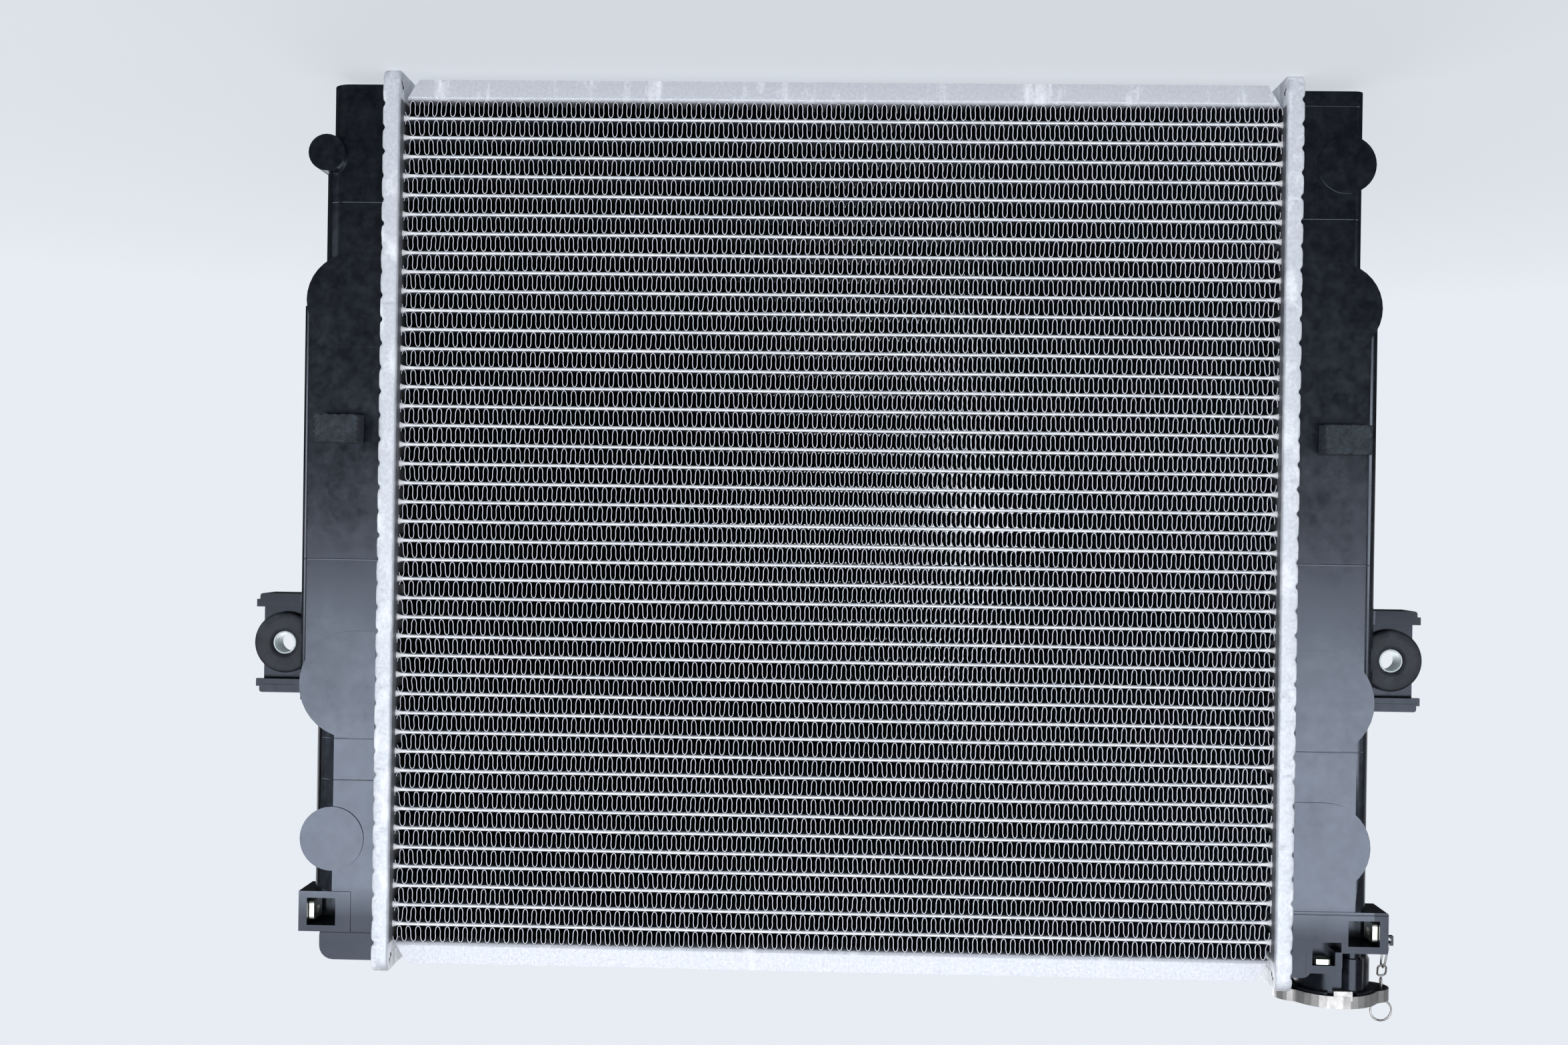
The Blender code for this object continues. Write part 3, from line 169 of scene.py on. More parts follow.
class Shade:
    """A node tree under one Principled shader; most methods add a node and return its output."""

    def __init__(self, name):
        self.material = bpy.data.materials.new(name)
        self.material.use_nodes = True
        self.nodes = self.material.node_tree.nodes
        self.links = self.material.node_tree.links
        self.shader = self.nodes["Principled BSDF"]
        self.place = self.nodes.new("ShaderNodeTexCoord").outputs["Object"]

    def feed(self, socket, value):
        """Set a socket to a value, or link it to another node's output."""
        if isinstance(value, bpy.types.NodeSocket):
            self.links.new(value, socket)
        else:
            socket.default_value = value

    def put(self, name, value):
        """Feed one input of the shader."""
        self.feed(self.shader.inputs[name], value)

    def stretched(self, factors):
        """The object's coordinates, scaled along each axis."""
        mapping = self.nodes.new("ShaderNodeMapping")
        self.links.new(self.place, mapping.inputs["Vector"])
        mapping.inputs["Scale"].default_value = factors
        return mapping.outputs["Vector"]

    def noise(self, scale, detail=3.0, rough=0.55, stretch=None):
        """Smooth noise with features of about one over scale."""
        node = self.nodes.new("ShaderNodeTexNoise")
        self.links.new(self.stretched(stretch) if stretch else self.place, node.inputs["Vector"])
        node.inputs["Scale"].default_value = scale
        node.inputs["Detail"].default_value = detail
        node.inputs["Roughness"].default_value = rough
        return node.outputs["Fac"]

    def cells(self, scale):
        """Distance to the nearest of a set of scattered points."""
        node = self.nodes.new("ShaderNodeTexVoronoi")
        self.links.new(self.place, node.inputs["Vector"])
        node.inputs["Scale"].default_value = scale
        return node.outputs["Distance"]

    def spread(self, value, low, high, to_low=0.0, to_high=1.0):
        """Map a stretch of a value on to another."""
        node = self.nodes.new("ShaderNodeMapRange")
        self.feed(node.inputs["Value"], value)
        node.inputs["From Min"].default_value = low
        node.inputs["From Max"].default_value = high
        node.inputs["To Min"].default_value = to_low
        node.inputs["To Max"].default_value = to_high
        return node.outputs["Result"]

    def calculate(self, operation, first, second=0.0):
        """The result of one step of arithmetic."""
        node = self.nodes.new("ShaderNodeMath")
        node.operation = operation
        self.feed(node.inputs[0], first)
        self.feed(node.inputs[1], second)
        return node.outputs["Value"]

    def plus(self, first, second):
        """The sum of two values."""
        return self.calculate("ADD", first, second)

    def times(self, first, second):
        """The product of two values."""
        return self.calculate("MULTIPLY", first, second)

    def mix(self, factor, first, second):
        """Blend two colours."""
        node = self.nodes.new("ShaderNodeMix")
        node.data_type = "RGBA"
        self.feed(node.inputs["Factor"], factor)
        for socket, colour in (("A", first), ("B", second)):
            target = next(i for i in node.inputs if i.name == socket and i.type == "RGBA")
            self.feed(target, colour if isinstance(colour, bpy.types.NodeSocket) else (*colour, 1.0))
        return next(o for o in node.outputs if o.type == "RGBA")

    def along(self, axis):
        """One of the object's coordinates."""
        node = self.nodes.new("ShaderNodeSeparateXYZ")
        self.links.new(self.place, node.inputs["Vector"])
        return node.outputs[axis]

    def away_from(self, value, centre):
        """How far a value is from a centre, on either side."""
        return self.calculate("ABSOLUTE", self.calculate("SUBTRACT", value, centre))

    def bump(self, height, depth, strength, under=None):
        """Raise the surface by a height, in units of depth, on top of the bump under it."""
        node = self.nodes.new("ShaderNodeBump")
        node.inputs["Strength"].default_value = strength
        node.inputs["Distance"].default_value = depth
        self.feed(node.inputs["Height"], height)
        if under is not None:
            self.links.new(under, node.inputs["Normal"])
        self.links.new(node.outputs["Normal"], self.shader.inputs["Normal"])
        return node.outputs["Normal"]


def nylon_material(name="black_nylon", seams=()):
    """Black glass-filled nylon with a satin, faintly cloudy shine, duller on the ears and top ends."""
    shade = Shade(name)
    shade.put("Specular Tint", (0.74, 0.83, 1.0, 1.0))
    clouds = shade.noise(26.0, 4.0, 0.6)
    mottle = shade.noise(170.0, 5.0, 0.7)
    grain = shade.noise(1900.0, 2.0, 0.5)
    flow = shade.noise(60.0, 3.0, 0.6, (1.0, 1.0, 0.12))
    murky = (0.0026, 0.0034, 0.0050)
    cloudy = (0.0085, 0.0098, 0.0135)
    tone = shade.mix(shade.spread(mottle, 0.38, 0.66), murky, cloudy)
    specks = shade.spread(shade.cells(260.0), 0.0, 0.09, 1.0, 0.0)
    few = shade.spread(shade.noise(75.0, 2.0), 0.6, 0.68)
    dust = shade.times(specks, few)
    tone = shade.mix(shade.times(dust, 0.12), tone, (0.20, 0.21, 0.23))
    height = shade.along("Z")
    reach = shade.away_from(shade.along("X"), 0.0)
    ear = shade.spread(reach, EAR_FROM, EAR_FROM + EAR_FADE)
    end = shade.spread(height, TOP_END - TOP_FADE, TOP_END + TOP_FADE)
    dull = shade.calculate("MAXIMUM", ear, end)
    shade.put("Specular IOR Level", shade.spread(dull, 0.0, 1.0, 1.0, 0.42))
    line = None
    for seam in seams:
        away = shade.away_from(height, seam)
        one = shade.spread(away, SEAM_WIDTH * 0.3, SEAM_WIDTH, 1.0, 0.0)
        line = one if line is None else shade.plus(line, one)
    if line is not None:
        tone = shade.mix(shade.times(line, 0.35), tone, (0.014, 0.016, 0.020))
    shade.put("Base Color", tone)
    rough = shade.spread(shade.plus(clouds, mottle), 0.75, 1.3, 0.16, 0.27)
    shade.put("Roughness", shade.plus(rough, shade.times(grain, 0.03)))
    under = shade.bump(flow, 0.25 * MM, 0.15)
    under = shade.bump(grain, 0.03 * MM, 0.3, under)
    if line is not None:
        shade.bump(line, 0.10 * MM, 0.4, under)
    return shade.material


def flux_sheet(name, bright, dull, roughness, stretch, white_from):
    """Aluminium sheet with white patches of brazing flux, and painted shade on the header plates' floor by
    the fins.
    """
    shade = Shade(name)
    shade.put("Specular IOR Level", 0.45)
    patches = shade.noise(95.0, 5.0, 0.65, stretch)
    fine = shade.noise(650.0, 3.0, 0.6)
    grains = shade.cells(900.0)
    base = shade.mix(shade.spread(fine, 0.35, 0.65), dull, bright)
    cloudy = shade.plus(patches, shade.times(fine, 0.12))
    white = shade.spread(cloudy, white_from, white_from + 0.16)
    base = shade.mix(shade.times(white, 0.75), base, (0.90, 0.92, 0.95))
    marks = shade.spread(shade.noise(210.0, 4.0, 0.7), 0.66, 0.74)
    base = shade.mix(shade.times(marks, 0.45), base, (0.42, 0.43, 0.46))
    # painted shade on the floor, beside the fins and between the side plates, where the fins shade it
    reach = shade.away_from(shade.along("X"), 0.0)
    depth = shade.away_from(shade.along("Y"), FIN_MIDDLE_Y)
    by_fins = shade.spread(reach, HEADER_FLOOR + 2.0 * MM, HEADER_FLOOR + 3.0 * MM, 1.0, 0.0)
    past_side = shade.spread(reach, HEADER_FLOOR - 1.0 * MM, HEADER_FLOOR - 0.5 * MM)
    inside = shade.spread(depth, HEADER_SHADE - 2.0 * MM, HEADER_SHADE, 1.0, 0.0)
    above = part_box("side_plate_top")[0].z
    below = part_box("side_plate_bottom")[1].z
    from_middle = shade.away_from(shade.along("Z"), (above + below) / 2)
    half = (above - below) / 2
    between = shade.spread(from_middle, half - 1.0 * MM, half, 1.0, 0.0)
    inside = shade.times(inside, between)
    painted_shade = shade.times(shade.times(by_fins, past_side), inside)
    # the floor's painted shade: its colour is darkened to nearly black
    shade.put("Base Color", shade.mix(shade.times(painted_shade, 0.85), base, (0.05, 0.055, 0.065)))
    shade.put("Metallic", shade.spread(white, 0.0, 1.0, 0.20, 0.05))
    rough = shade.spread(shade.plus(white, grains), 0.1, 1.3, roughness - 0.08, roughness + 0.2)
    shade.put("Roughness", rough)
    under = shade.bump(grains, 0.10 * MM, 0.35)
    shade.bump(patches, 0.5 * MM, 0.25, under)
    return shade.material


def fin_material():
    """Thin fin sheet: pale cut edges at front and back, and painted shade, nearly black, between them."""
    shade = Shade("fin_sheet")
    shade.put("Specular IOR Level", 0.08)
    patches = shade.noise(38.0, 3.0, 0.5)
    fine = shade.noise(900.0, 2.0, 0.5)
    # painted shade: the fins' sides between front and back edges are nearly black, for the shade deep in the
    # core
    inner = shade.mix(shade.spread(patches, 0.38, 0.62), (0.009, 0.012, 0.016), (0.016, 0.017, 0.023))
    edge = shade.mix(shade.spread(patches, 0.38, 0.62), (0.63, 0.67, 0.72), (0.71, 0.70, 0.77))
    depth = shade.away_from(shade.along("Y"), FIN_MIDDLE_Y)
    rim = shade.spread(depth, FIN_HALF_DEPTH - 0.55 * MM, FIN_HALF_DEPTH - 0.1 * MM)
    shade.put("Base Color", shade.mix(rim, inner, edge))
    shade.put("Roughness", shade.spread(fine, 0.3, 0.7, 0.6, 0.8))
    shade.bump(fine, 0.03 * MM, 0.3)
    return shade.material


def tube_material():
    """The tubes' noses, pale with a film of flux and brighter solder by the header plates; painted shade
    behind the noses.
    """
    shade = Shade("tube_wall")
    film = shade.noise(120.0, 4.0, 0.6, (0.25, 1.0, 1.0))
    fine = shade.noise(800.0, 2.0, 0.6)
    solder = shade.spread(shade.away_from(shade.along("X"), 0.0), SOLDER_FROM, SOLDER_FULL)
    tone = shade.mix(shade.spread(film, 0.4, 0.66), (0.80, 0.83, 0.88), (0.95, 0.96, 0.98))
    flat = shade.away_from(shade.along("Y"), FIN_MIDDLE_Y)
    nose = shade.spread(flat, TUBE_NOSE - 0.5 * MM, TUBE_NOSE)
    pale = shade.mix(solder, tone, (0.97, 0.97, 0.98))
    # painted shade: the tubes' sides behind the pale noses are dark grey, for the shade between the fins
    shade.put("Base Color", shade.mix(nose, (0.16, 0.18, 0.22), pale))
    coated = shade.plus(solder, shade.times(film, 0.4))
    shade.put("Metallic", shade.spread(coated, 0.1, 1.0, 0.6, 0.1))
    shade.put("Roughness", shade.spread(fine, 0.3, 0.7, 0.32, 0.52))
    shade.bump(fine, 0.05 * MM, 0.4)
    return shade.material


def rubber_material():
    """Moulded rubber: charcoal, matt, with a faint bloom."""
    shade = Shade("black_rubber")
    bloom = shade.noise(150.0, 4.0, 0.6)
    grain = shade.noise(1500.0, 2.0, 0.5)
    tone = shade.mix(shade.spread(bloom, 0.42, 0.7), (0.012, 0.015, 0.021), (0.034, 0.040, 0.050))
    shade.put("Base Color", tone)
    shade.put("Roughness", shade.spread(bloom, 0.3, 0.7, 0.54, 0.74))
    shade.bump(grain, 0.08 * MM, 0.4)
    return shade.material


def foam_material():
    """Dark blue-grey foam with open cells, and painted shade in the pores."""
    shade = Shade("grey_foam")
    shade.put("Roughness", 0.95)
    cells = shade.cells(1400.0)
    cloud = shade.noise(260.0, 4.0, 0.7)
    painted_pore_shade = shade.spread(cells, 0.05, 0.45)
    tone = shade.mix(shade.spread(cloud, 0.35, 0.65), (0.020, 0.025, 0.032), (0.042, 0.051, 0.063))
    # painted shade: the pores, where the bump sinks, are darkened
    shade.put("Base Color", shade.mix(painted_pore_shade, (0.010, 0.013, 0.017), tone))
    shade.bump(cells, 0.25 * MM, 0.7)
    return shade.material


def plated_material(name, light, dark, roughness, metallic=1.0):
    """Plated metal with a cloudy passivation and faint rubbing marks."""
    shade = Shade(name)
    shade.put("Metallic", metallic)
    cloud = shade.noise(220.0, 4.0, 0.6)
    marks = shade.noise(340.0, 5.0, 0.7, (1.0, 1.0, 0.15))
    shade.put("Base Color", shade.mix(shade.spread(cloud, 0.35, 0.65), light, dark))
    rubbed = shade.plus(cloud, marks)
    shade.put("Roughness", shade.spread(rubbed, 0.7, 1.3, roughness - 0.05, roughness + 0.12))
    shade.bump(marks, 0.04 * MM, 0.3)
    return shade.material


HEADER_TONES = ((0.69, 0.72, 0.77), (0.59, 0.62, 0.67))
SIDE_TONES = ((0.64, 0.66, 0.70), (0.56, 0.58, 0.63))
MATERIALS = {
    "core_aluminium": fin_material(),
    "tube": tube_material(),
    "plate_aluminium": flux_sheet("header_sheet", *HEADER_TONES, 0.46, (1.0, 1.0, 0.6), 0.55),
    "side_sheet": flux_sheet("side_sheet", *SIDE_TONES, 0.42, (1.0, 0.6, 0.25), 0.60),
    "black_nylon": nylon_material(),
    "nylon_inlet": nylon_material("nylon_inlet", SEAMS["inlet"]),
    "nylon_outlet": nylon_material("nylon_outlet", SEAMS["outlet"]),
    "black_rubber": rubber_material(),
    "grey_foam": foam_material(),
    "zinc_plate": plated_material("zinc_plate", (0.80, 0.82, 0.74), (0.66, 0.68, 0.60), 0.34),
    "sleeve_zinc": plated_material("sleeve_zinc", (0.70, 0.76, 0.77), (0.58, 0.64, 0.66), 0.5, 0.5),
    "bright_steel": plated_material("bright_steel", (0.60, 0.59, 0.58), (0.48, 0.47, 0.46), 0.44),
    "brass": plated_material("brass", (0.76, 0.60, 0.32), (0.62, 0.47, 0.23), 0.28),
}


# ---------------------------------------------------------------- helpers


def finish_piece(name, bm, material, body, node, sharp_degrees):
    """Make a piece from a bmesh, with its finish, the body that carries it and the CAD piece it replaces."""
    bmesh.ops.recalc_face_normals(bm, faces=bm.faces)
    mesh = bpy.data.meshes.new(name)
    bm.to_mesh(mesh)
    bm.free()
    mesh.shade_smooth()
    mesh.set_sharp_from_angle(angle=math.radians(sharp_degrees))
    piece = bpy.data.objects.new(name, mesh)
    bpy.context.scene.collection.objects.link(piece)
    piece.data.materials.append(MATERIALS[material])
    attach(piece, body)
    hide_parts(node)
    return piece


def skin_rings(bm, rings, looped=False):
    """Join rings of vertices into a skin: a loop of rings, or a row whose two ends are closed."""
    count = len(rings[0])
    joins = len(rings) if looped else len(rings) - 1
    for i in range(joins):
        first = rings[i]
        second = rings[(i + 1) % len(rings)]
        for j in range(count):
            k = (j + 1) % count
            bm.faces.new((first[j], first[k], second[k], second[j]))
    if not looped:
        bm.faces.new(list(reversed(rings[0])))
        bm.faces.new(rings[-1])


def box_into(bm, low, high):
    """Add a closed box between two corners."""
    low = Vector(low)
    high = Vector(high)
    size = high - low
    scale = Matrix.Diagonal((abs(size.x), abs(size.y), abs(size.z), 1.0))
    place = Matrix.Translation((low + high) / 2) @ scale
    bmesh.ops.create_cube(bm, size=1.0, matrix=place)


def arc(centre, radius, start_degrees, end_degrees, pieces):
    """Points along an arc in a plane, both ends included."""
    points = []
    for i in range(pieces + 1):
        angle = math.radians(start_degrees + (end_degrees - start_degrees) * i / pieces)
        points.append((centre[0] + radius * math.cos(angle), centre[1] + radius * math.sin(angle)))
    return points


def lathe(name, profile, origin, material, node):
    """A turned piece of the radiator: a closed profile of (radius, height) points swept round +Y."""
    turn = Vector((0, 1, 0)).to_track_quat("Z", "Y").to_matrix()
    bm = bmesh.new()
    rings = []
    for i in range(LATHE_STEPS):
        angle = 2 * math.pi * i / LATHE_STEPS
        ring = []
        for radius, height in profile:
            spot = Vector((radius * math.cos(angle), radius * math.sin(angle), height))
            ring.append(bm.verts.new(Vector(origin) + turn @ spot))
        rings.append(ring)
    skin_rings(bm, rings, looped=True)
    bmesh.ops.remove_doubles(bm, verts=bm.verts, dist=0.01 * MM)
    finish_piece(name, bm, material, "radiator", node, 50.0)


def softened(profile, radius):
    """Round each corner of a closed outline of (u, v) points."""
    pieces = 3
    result = []
    for i, point in enumerate(profile):
        here = Vector((*point, 0.0))
        before = Vector((*profile[i - 1], 0.0)) - here
        after = Vector((*profile[(i + 1) % len(profile)], 0.0)) - here
        reach = min(radius, before.length * 0.45, after.length * 0.45)
        start = here + before.normalized() * reach
        end = here + after.normalized() * reach
        for j in range(pieces + 1):
            t = j / pieces
            spot = (1 - t) ** 2 * start + 2 * t * (1 - t) * here + t**2 * end
            result.append((spot.x, spot.y))
    return result


# ---------------------------------------------------------------- core

core_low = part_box("tube_bank_01")[0]
core_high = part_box("tube_bank_22")[1]
core_middle = (core_low + core_high) / 2
FIRST_TUBE = core_middle.z - (TUBE_COUNT - 1) / 2 * TUBE_PITCH


def bank_of(index):
    """The CAD bank that holds a tube or the fin row under it."""
    return f"tube_bank_{index // 2 + 1:02d}"


def tube(index):
    """A flat tube with rounded noses, and solder drawn up round it at both header plates."""
    depth = (core_high.y - core_low.y) / 2
    end = core_high.x
    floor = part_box("header_plate_outlet")[0].x
    rng = random.Random(SEED * 1000 + index)
    middle = FIRST_TUBE + index * TUBE_PITCH
    stations = [(-end, 1.0)] + [(step * MM - floor, swell) for step, swell in SOLDER_SHAPE]
    plain = [(x, 1.0) for x in (-0.18, -0.12, -0.06, 0.0, 0.06, 0.12, 0.18)]
    stations += plain + [(-x, swell) for x, swell in reversed(stations)]
    round_end = arc((0.0, 0.0), 1.0, 90.0, 270.0, 8)
    bm = bmesh.new()
    rings = []
    for x, swell in stations:
        rise = TUBE_HEIGHT / 2 * swell
        sway = rng.uniform(-1.0, 1.0) * TUBE_SWAY if swell == 1.0 else 0.0
        nose = min(rise, NOSE_LENGTH)
        ring = []
        for sign, half in ((-1, round_end), (1, reversed(round_end))):
            for u, v in half:
                y = core_middle.y + sign * (depth - nose - u * nose)
                ring.append(bm.verts.new((x, y, middle + sway + v * rise)))
        rings.append(ring)
    skin_rings(bm, rings)
    name = f"tube_{index + 1:02d}"
    finish_piece(name, bm, "tube", "radiator", bank_of(index), 40.0)


def wave_shape():
    """One wave of a fin as (x, z) points from 0 to 1: a curve whose direction swings to and fro."""
    fine = 40 * WAVE_POINTS
    x = 0.0
    z = 0.0
    line = [(0.0, 0.0)]
    for i in range(fine):
        direction = WAVE_SWEEP * math.cos(2 * math.pi * (i + 0.5) / fine)
        x += math.cos(direction)
        z += math.sin(direction)
        line.append((x, z))
    top = max(z for _, z in line)
    bottom = min(z for _, z in line)
    picked = line[:: fine // WAVE_POINTS][:WAVE_POINTS]
    return [(x / line[-1][0], (z - bottom) / (top - bottom)) for x, z in picked]


WAVE = wave_shape()


def fin_row(index):
    """A corrugated strip between two tubes; its walls zigzag from front to back in place of louvres."""
    rng = random.Random(SEED * 2000 + index)
    low = FIRST_TUBE + (index - 0.5) * TUBE_PITCH - (TUBE_PITCH - TUBE_HEIGHT) / 2 + FIN_GAP
    rise = TUBE_PITCH - TUBE_HEIGHT - 2 * FIN_GAP
    waves = round(2 * FIN_REACH / FIN_WAVE)
    drift = rng.uniform(0.0, 50.0)
    sign = rng.choice((-1.0, 1.0))
    middle_line = []
    for wave in range(waves):
        for u, v in WAVE:
            t = (wave + u) / waves
            x = -FIN_REACH + 2 * FIN_REACH * t
            # the waves grow more uneven towards both ends
            edge = max(0.0, (abs(t - 0.5) - 0.42) / 0.08)
            uneven = noise.noise(Vector((t * 24.0, drift, 0.0))) * (0.6 + 1.2 * edge)
            lean = noise.noise(Vector((t * 33.0, drift, 7.0))) * (0.6 + 0.9 * edge)
            x += (uneven * 0.8 + lean * (v - 0.5)) * MM
            middle_line.append((x, low + rise * (sign * (v - 0.5) + 0.5)))
    limit = FIN_REACH + 0.3 * MM
    middle_line = [(min(max(x, -limit), limit), z) for x, z in middle_line]
    offsets = []
    for i in range(len(middle_line)):
        before = middle_line[max(i - 1, 0)]
        after = middle_line[min(i + 1, len(middle_line) - 1)]
        way = Vector((after[0] - before[0], after[1] - before[1]))
        if way.length < 0.01 * MM:
            way = Vector((1.0, 0.0))
        way.normalize()
        offsets.append((-way.y * FIN_SHEET / 2, way.x * FIN_SHEET / 2))
    stations = ((-1.0, 0.0), (-0.36, 1.0), (0.36, -1.0), (1.0, 0.0))
    bm = bmesh.new()
    rings = []
    for (x, z), (across_x, across_z) in zip(middle_line, offsets):
        ring = []
        for side in (1, -1):
            for step, swing in stations if side == 1 else reversed(stations):
                place = (
                    x + side * across_x + swing * FIN_SWING,
                    core_middle.y + step * FIN_HALF_DEPTH,
                    z + side * across_z,
                )
                ring.append(bm.verts.new(place))
        rings.append(ring)
    skin_rings(bm, rings)
    bank = bank_of(min(index, TUBE_COUNT - 1))
    name = f"fin_row_{index + 1:02d}"
    finish_piece(name, bm, "core_aluminium", "radiator", bank, 60.0)


# ---------------------------------------------------------------- header and side plates


def rounded_path(straight_y, straight_z):
    """Small steps round a rectangle as (point, way outwards), turning through a right angle at corners."""
    step = 0.65 * MM
    outline = []
    corners = ((1, 1, 0.0), (-1, 1, 90.0), (-1, -1, 180.0), (1, -1, 270.0))
    for sign_y, sign_z, start in corners:
        for i in range(9):
            angle = math.radians(start + 90.0 * i / 8)
            way = (math.cos(angle), math.sin(angle))
            outline.append(((sign_y * straight_y, sign_z * straight_z), way))
    path = []
    for i, (base, way) in enumerate(outline):
        base_next = outline[(i + 1) % len(outline)][0]
        pieces = max(1, round(math.dist(base, base_next) / step))
        for j in range(pieces):
            t = j / pieces
            spot = (base[0] + (base_next[0] - base[0]) * t, base[1] + (base_next[1] - base[1]) * t)
            path.append((spot, way))
    return path


def header_section(floor, top, drop, sink):
    """The header plate's closed section as (reach, inset) points, from the floor over the edge and back.

    The wall starts at the bend, the edge is rolled in at the top, and the inner face returns to the floor.
    """
    bend = HEADER_BEND
    sheet = HEADER_SHEET
    section = [(floor, HEADER_RING), (floor, bend + 0.4 * MM)]
    for turn in (0.0, 0.4, 0.8, 1.2):
        section.append((floor + bend - bend * math.cos(turn), bend - bend * math.sin(turn)))
    section += [(floor + bend, sink), (floor + 5.6 * MM, 0.04 * MM + sink)]
    section += [(top - 2.6 * MM, 0.05 * MM + sink), (top - 1.1 * MM, 0.0)]
    section += [(top - 0.35 * MM, 0.3 * MM), (top, 1.0 * MM), (top, 2.9 * MM - drop)]
    section += [(top - 0.7 * MM, 3.1 * MM - drop), (top - 1.2 * MM, sheet), (floor + sheet, sheet)]
    section += [(floor + sheet, HEADER_RING)]
    return section


def header_plate(side_name):
    """The pressed pan with its rounded bend, and its edge crimped over the tank's foot in tabs."""
    side = SIDES[side_name]
    node = f"header_plate_{side_name}"
    low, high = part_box(node)
    floor = min(abs(low.x), abs(high.x))
    edge = max(abs(low.x), abs(high.x))
    half_y = (high.y - low.y) / 2
    half_z = (high.z - low.z) / 2
    centre = (low + high) / 2
    rng = random.Random(SEED + side)
    phase = rng.uniform(0.0, CRIMP_PITCH)
    depths = [rng.uniform(0.25, 1.0) for _ in range(CRIMP_COUNT)]
    travelled = 0.0
    before = None
    bm = bmesh.new()
    rings = []
    for base, way in rounded_path(half_y - HEADER_CORNER, half_z - HEADER_CORNER):
        here = (base[0] + way[0] * HEADER_CORNER, base[1] + way[1] * HEADER_CORNER)
        if before is not None:
            travelled += math.dist(before, here)
        before = here
        spot = (travelled + phase) % CRIMP_PITCH - CRIMP_PITCH / 2
        depth = depths[int((travelled + phase) / CRIMP_PITCH)]
        # a notch between two tabs, towards which the tabs' edges are rounded off
        notch = CRIMP_NOTCH * depth * math.exp(-((spot / CRIMP_NOTCH_WIDTH) ** 4))
        scallop = CRIMP_SCALLOP * (2 * abs(abs(spot) / CRIMP_PITCH - 0.5)) ** 3
        along_side = abs(way[0]) > 0.99
        drop = notch + scallop if along_side else 0.0
        height = centre.z + here[1]
        crease = 0.0
        for at in CREASES[side_name]:
            crease += math.exp(-(((height - at) / CREASE_WIDTH) ** 2))
        ripple = RIPPLE * noise.noise(Vector((here[0] * 90, here[1] * 160, side * 3.0)))
        top = edge - drop - abs(ripple)
        sink = CREASE_DEPTH * crease if along_side else 0.0
        ring = []
        for x, inset in header_section(floor, top, drop, sink):
            y = centre.y + base[0] + way[0] * (HEADER_CORNER - inset)
            z = centre.z + base[1] + way[1] * (HEADER_CORNER - inset)
            ring.append(bm.verts.new((side * x, y, z)))
        rings.append(ring)
    skin_rings(bm, rings, looped=True)
    field_y = half_y - HEADER_FIELD
    field_z = half_z - HEADER_FIELD
    near = side * (floor + FIELD_SINK)
    far = side * (floor + HEADER_SHEET - FIELD_SINK)
    field_low = (near, centre.y - field_y, centre.z - field_z)
    field_high = (far, centre.y + field_y, centre.z + field_z)
    box_into(bm, field_low, field_high)
    finish_piece(node + "_sheet", bm, "plate_aluminium", "radiator", node, 50.0)


def side_plate(node, direction):
    """The folded channel above or below the fins, with round bends and its ends cut on a slant."""
    low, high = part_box(node)
    base = low.z if direction > 0 else high.z
    height = high.z - low.z
    half = (high.y - low.y) / 2
    middle = (low.y + high.y) / 2
    reach = high.x
    sheet = SIDE_THICKNESS
    bend = SIDE_BEND
    inner = bend - sheet
    outer_side = [(-half, height)]
    outer_side += [(-half + bend + y, bend + z) for y, z in arc((0.0, 0.0), bend, 180.0, 270.0, 6)]
    outer_side += [(half - bend + y, bend + z) for y, z in arc((0.0, 0.0), bend, 270.0, 360.0, 6)]
    outer_side += [(half, height)]
    inner_side = [(half - sheet, height)]
    inner_side += [(half - bend + y, bend + z) for y, z in arc((0.0, 0.0), inner, 360.0, 270.0, 4)]
    inner_side += [(-half + bend + y, bend + z) for y, z in arc((0.0, 0.0), inner, 270.0, 180.0, 4)]
    inner_side += [(-half + sheet, height)]
    section = outer_side + inner_side
    bm = bmesh.new()
    rings = []
    for i in range(SIDE_STEPS + 1):
        t = -1.0 + 2.0 * i / SIDE_STEPS
        ring = []
        for y, rise in section:
            share = rise / height
            x = t * (reach - SIDE_SLANT * share)
            sway = SIDE_SWAY * share * noise.noise(Vector((t * 9.0, direction * 5.0, 0.0)))
            flap = math.copysign(1.0, y) * sway
            ring.append(bm.verts.new((x, middle + y - max(flap, 0.0) * 0.5, base + direction * rise)))
        rings.append(ring)
    skin_rings(bm, rings)
    finish_piece(node + "_sheet", bm, "side_sheet", "radiator", node, 50.0)


# ---------------------------------------------------------------- tanks and their small pieces


def softened_copy(node, name, material, width):
    """A copy of a CAD piece with its sharp edges bevelled to a width."""
    source = frame["nodes"][node]
    bm = bmesh.new()
    bm.from_mesh(source.data)
    bmesh.ops.remove_doubles(bm, verts=bm.verts, dist=0.002 * MM)
    flat = math.radians(0.2)
    bmesh.ops.dissolve_limit(bm, angle_limit=flat, verts=bm.verts, edges=bm.edges)
    piece = finish_piece(name, bm, material, source["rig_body"], node, 38.0)
    bevel = piece.modifiers.new("edges", "BEVEL")
    bevel.width = width
    bevel.segments = 2
    bevel.limit_method = "ANGLE"
    bevel.angle_limit = math.radians(32.0)
    bevel.use_clamp_overlap = True
    weighted = piece.modifiers.new("shading", "WEIGHTED_NORMAL")
    weighted.mode = "FACE_AREA"
    weighted.weight = 100
    weighted.keep_sharp = True


def pressure_spring():
    """The coil over the pressure valve, a copy of the CAD piece's mesh."""
    node = "cap_pressure_spring"
    source = frame["nodes"][node]
    bm = bmesh.new()
    bm.from_mesh(source.data)
    piece = finish_piece("pressure_coil", bm, "bright_steel", source["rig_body"], node, 60.0)
    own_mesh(piece)


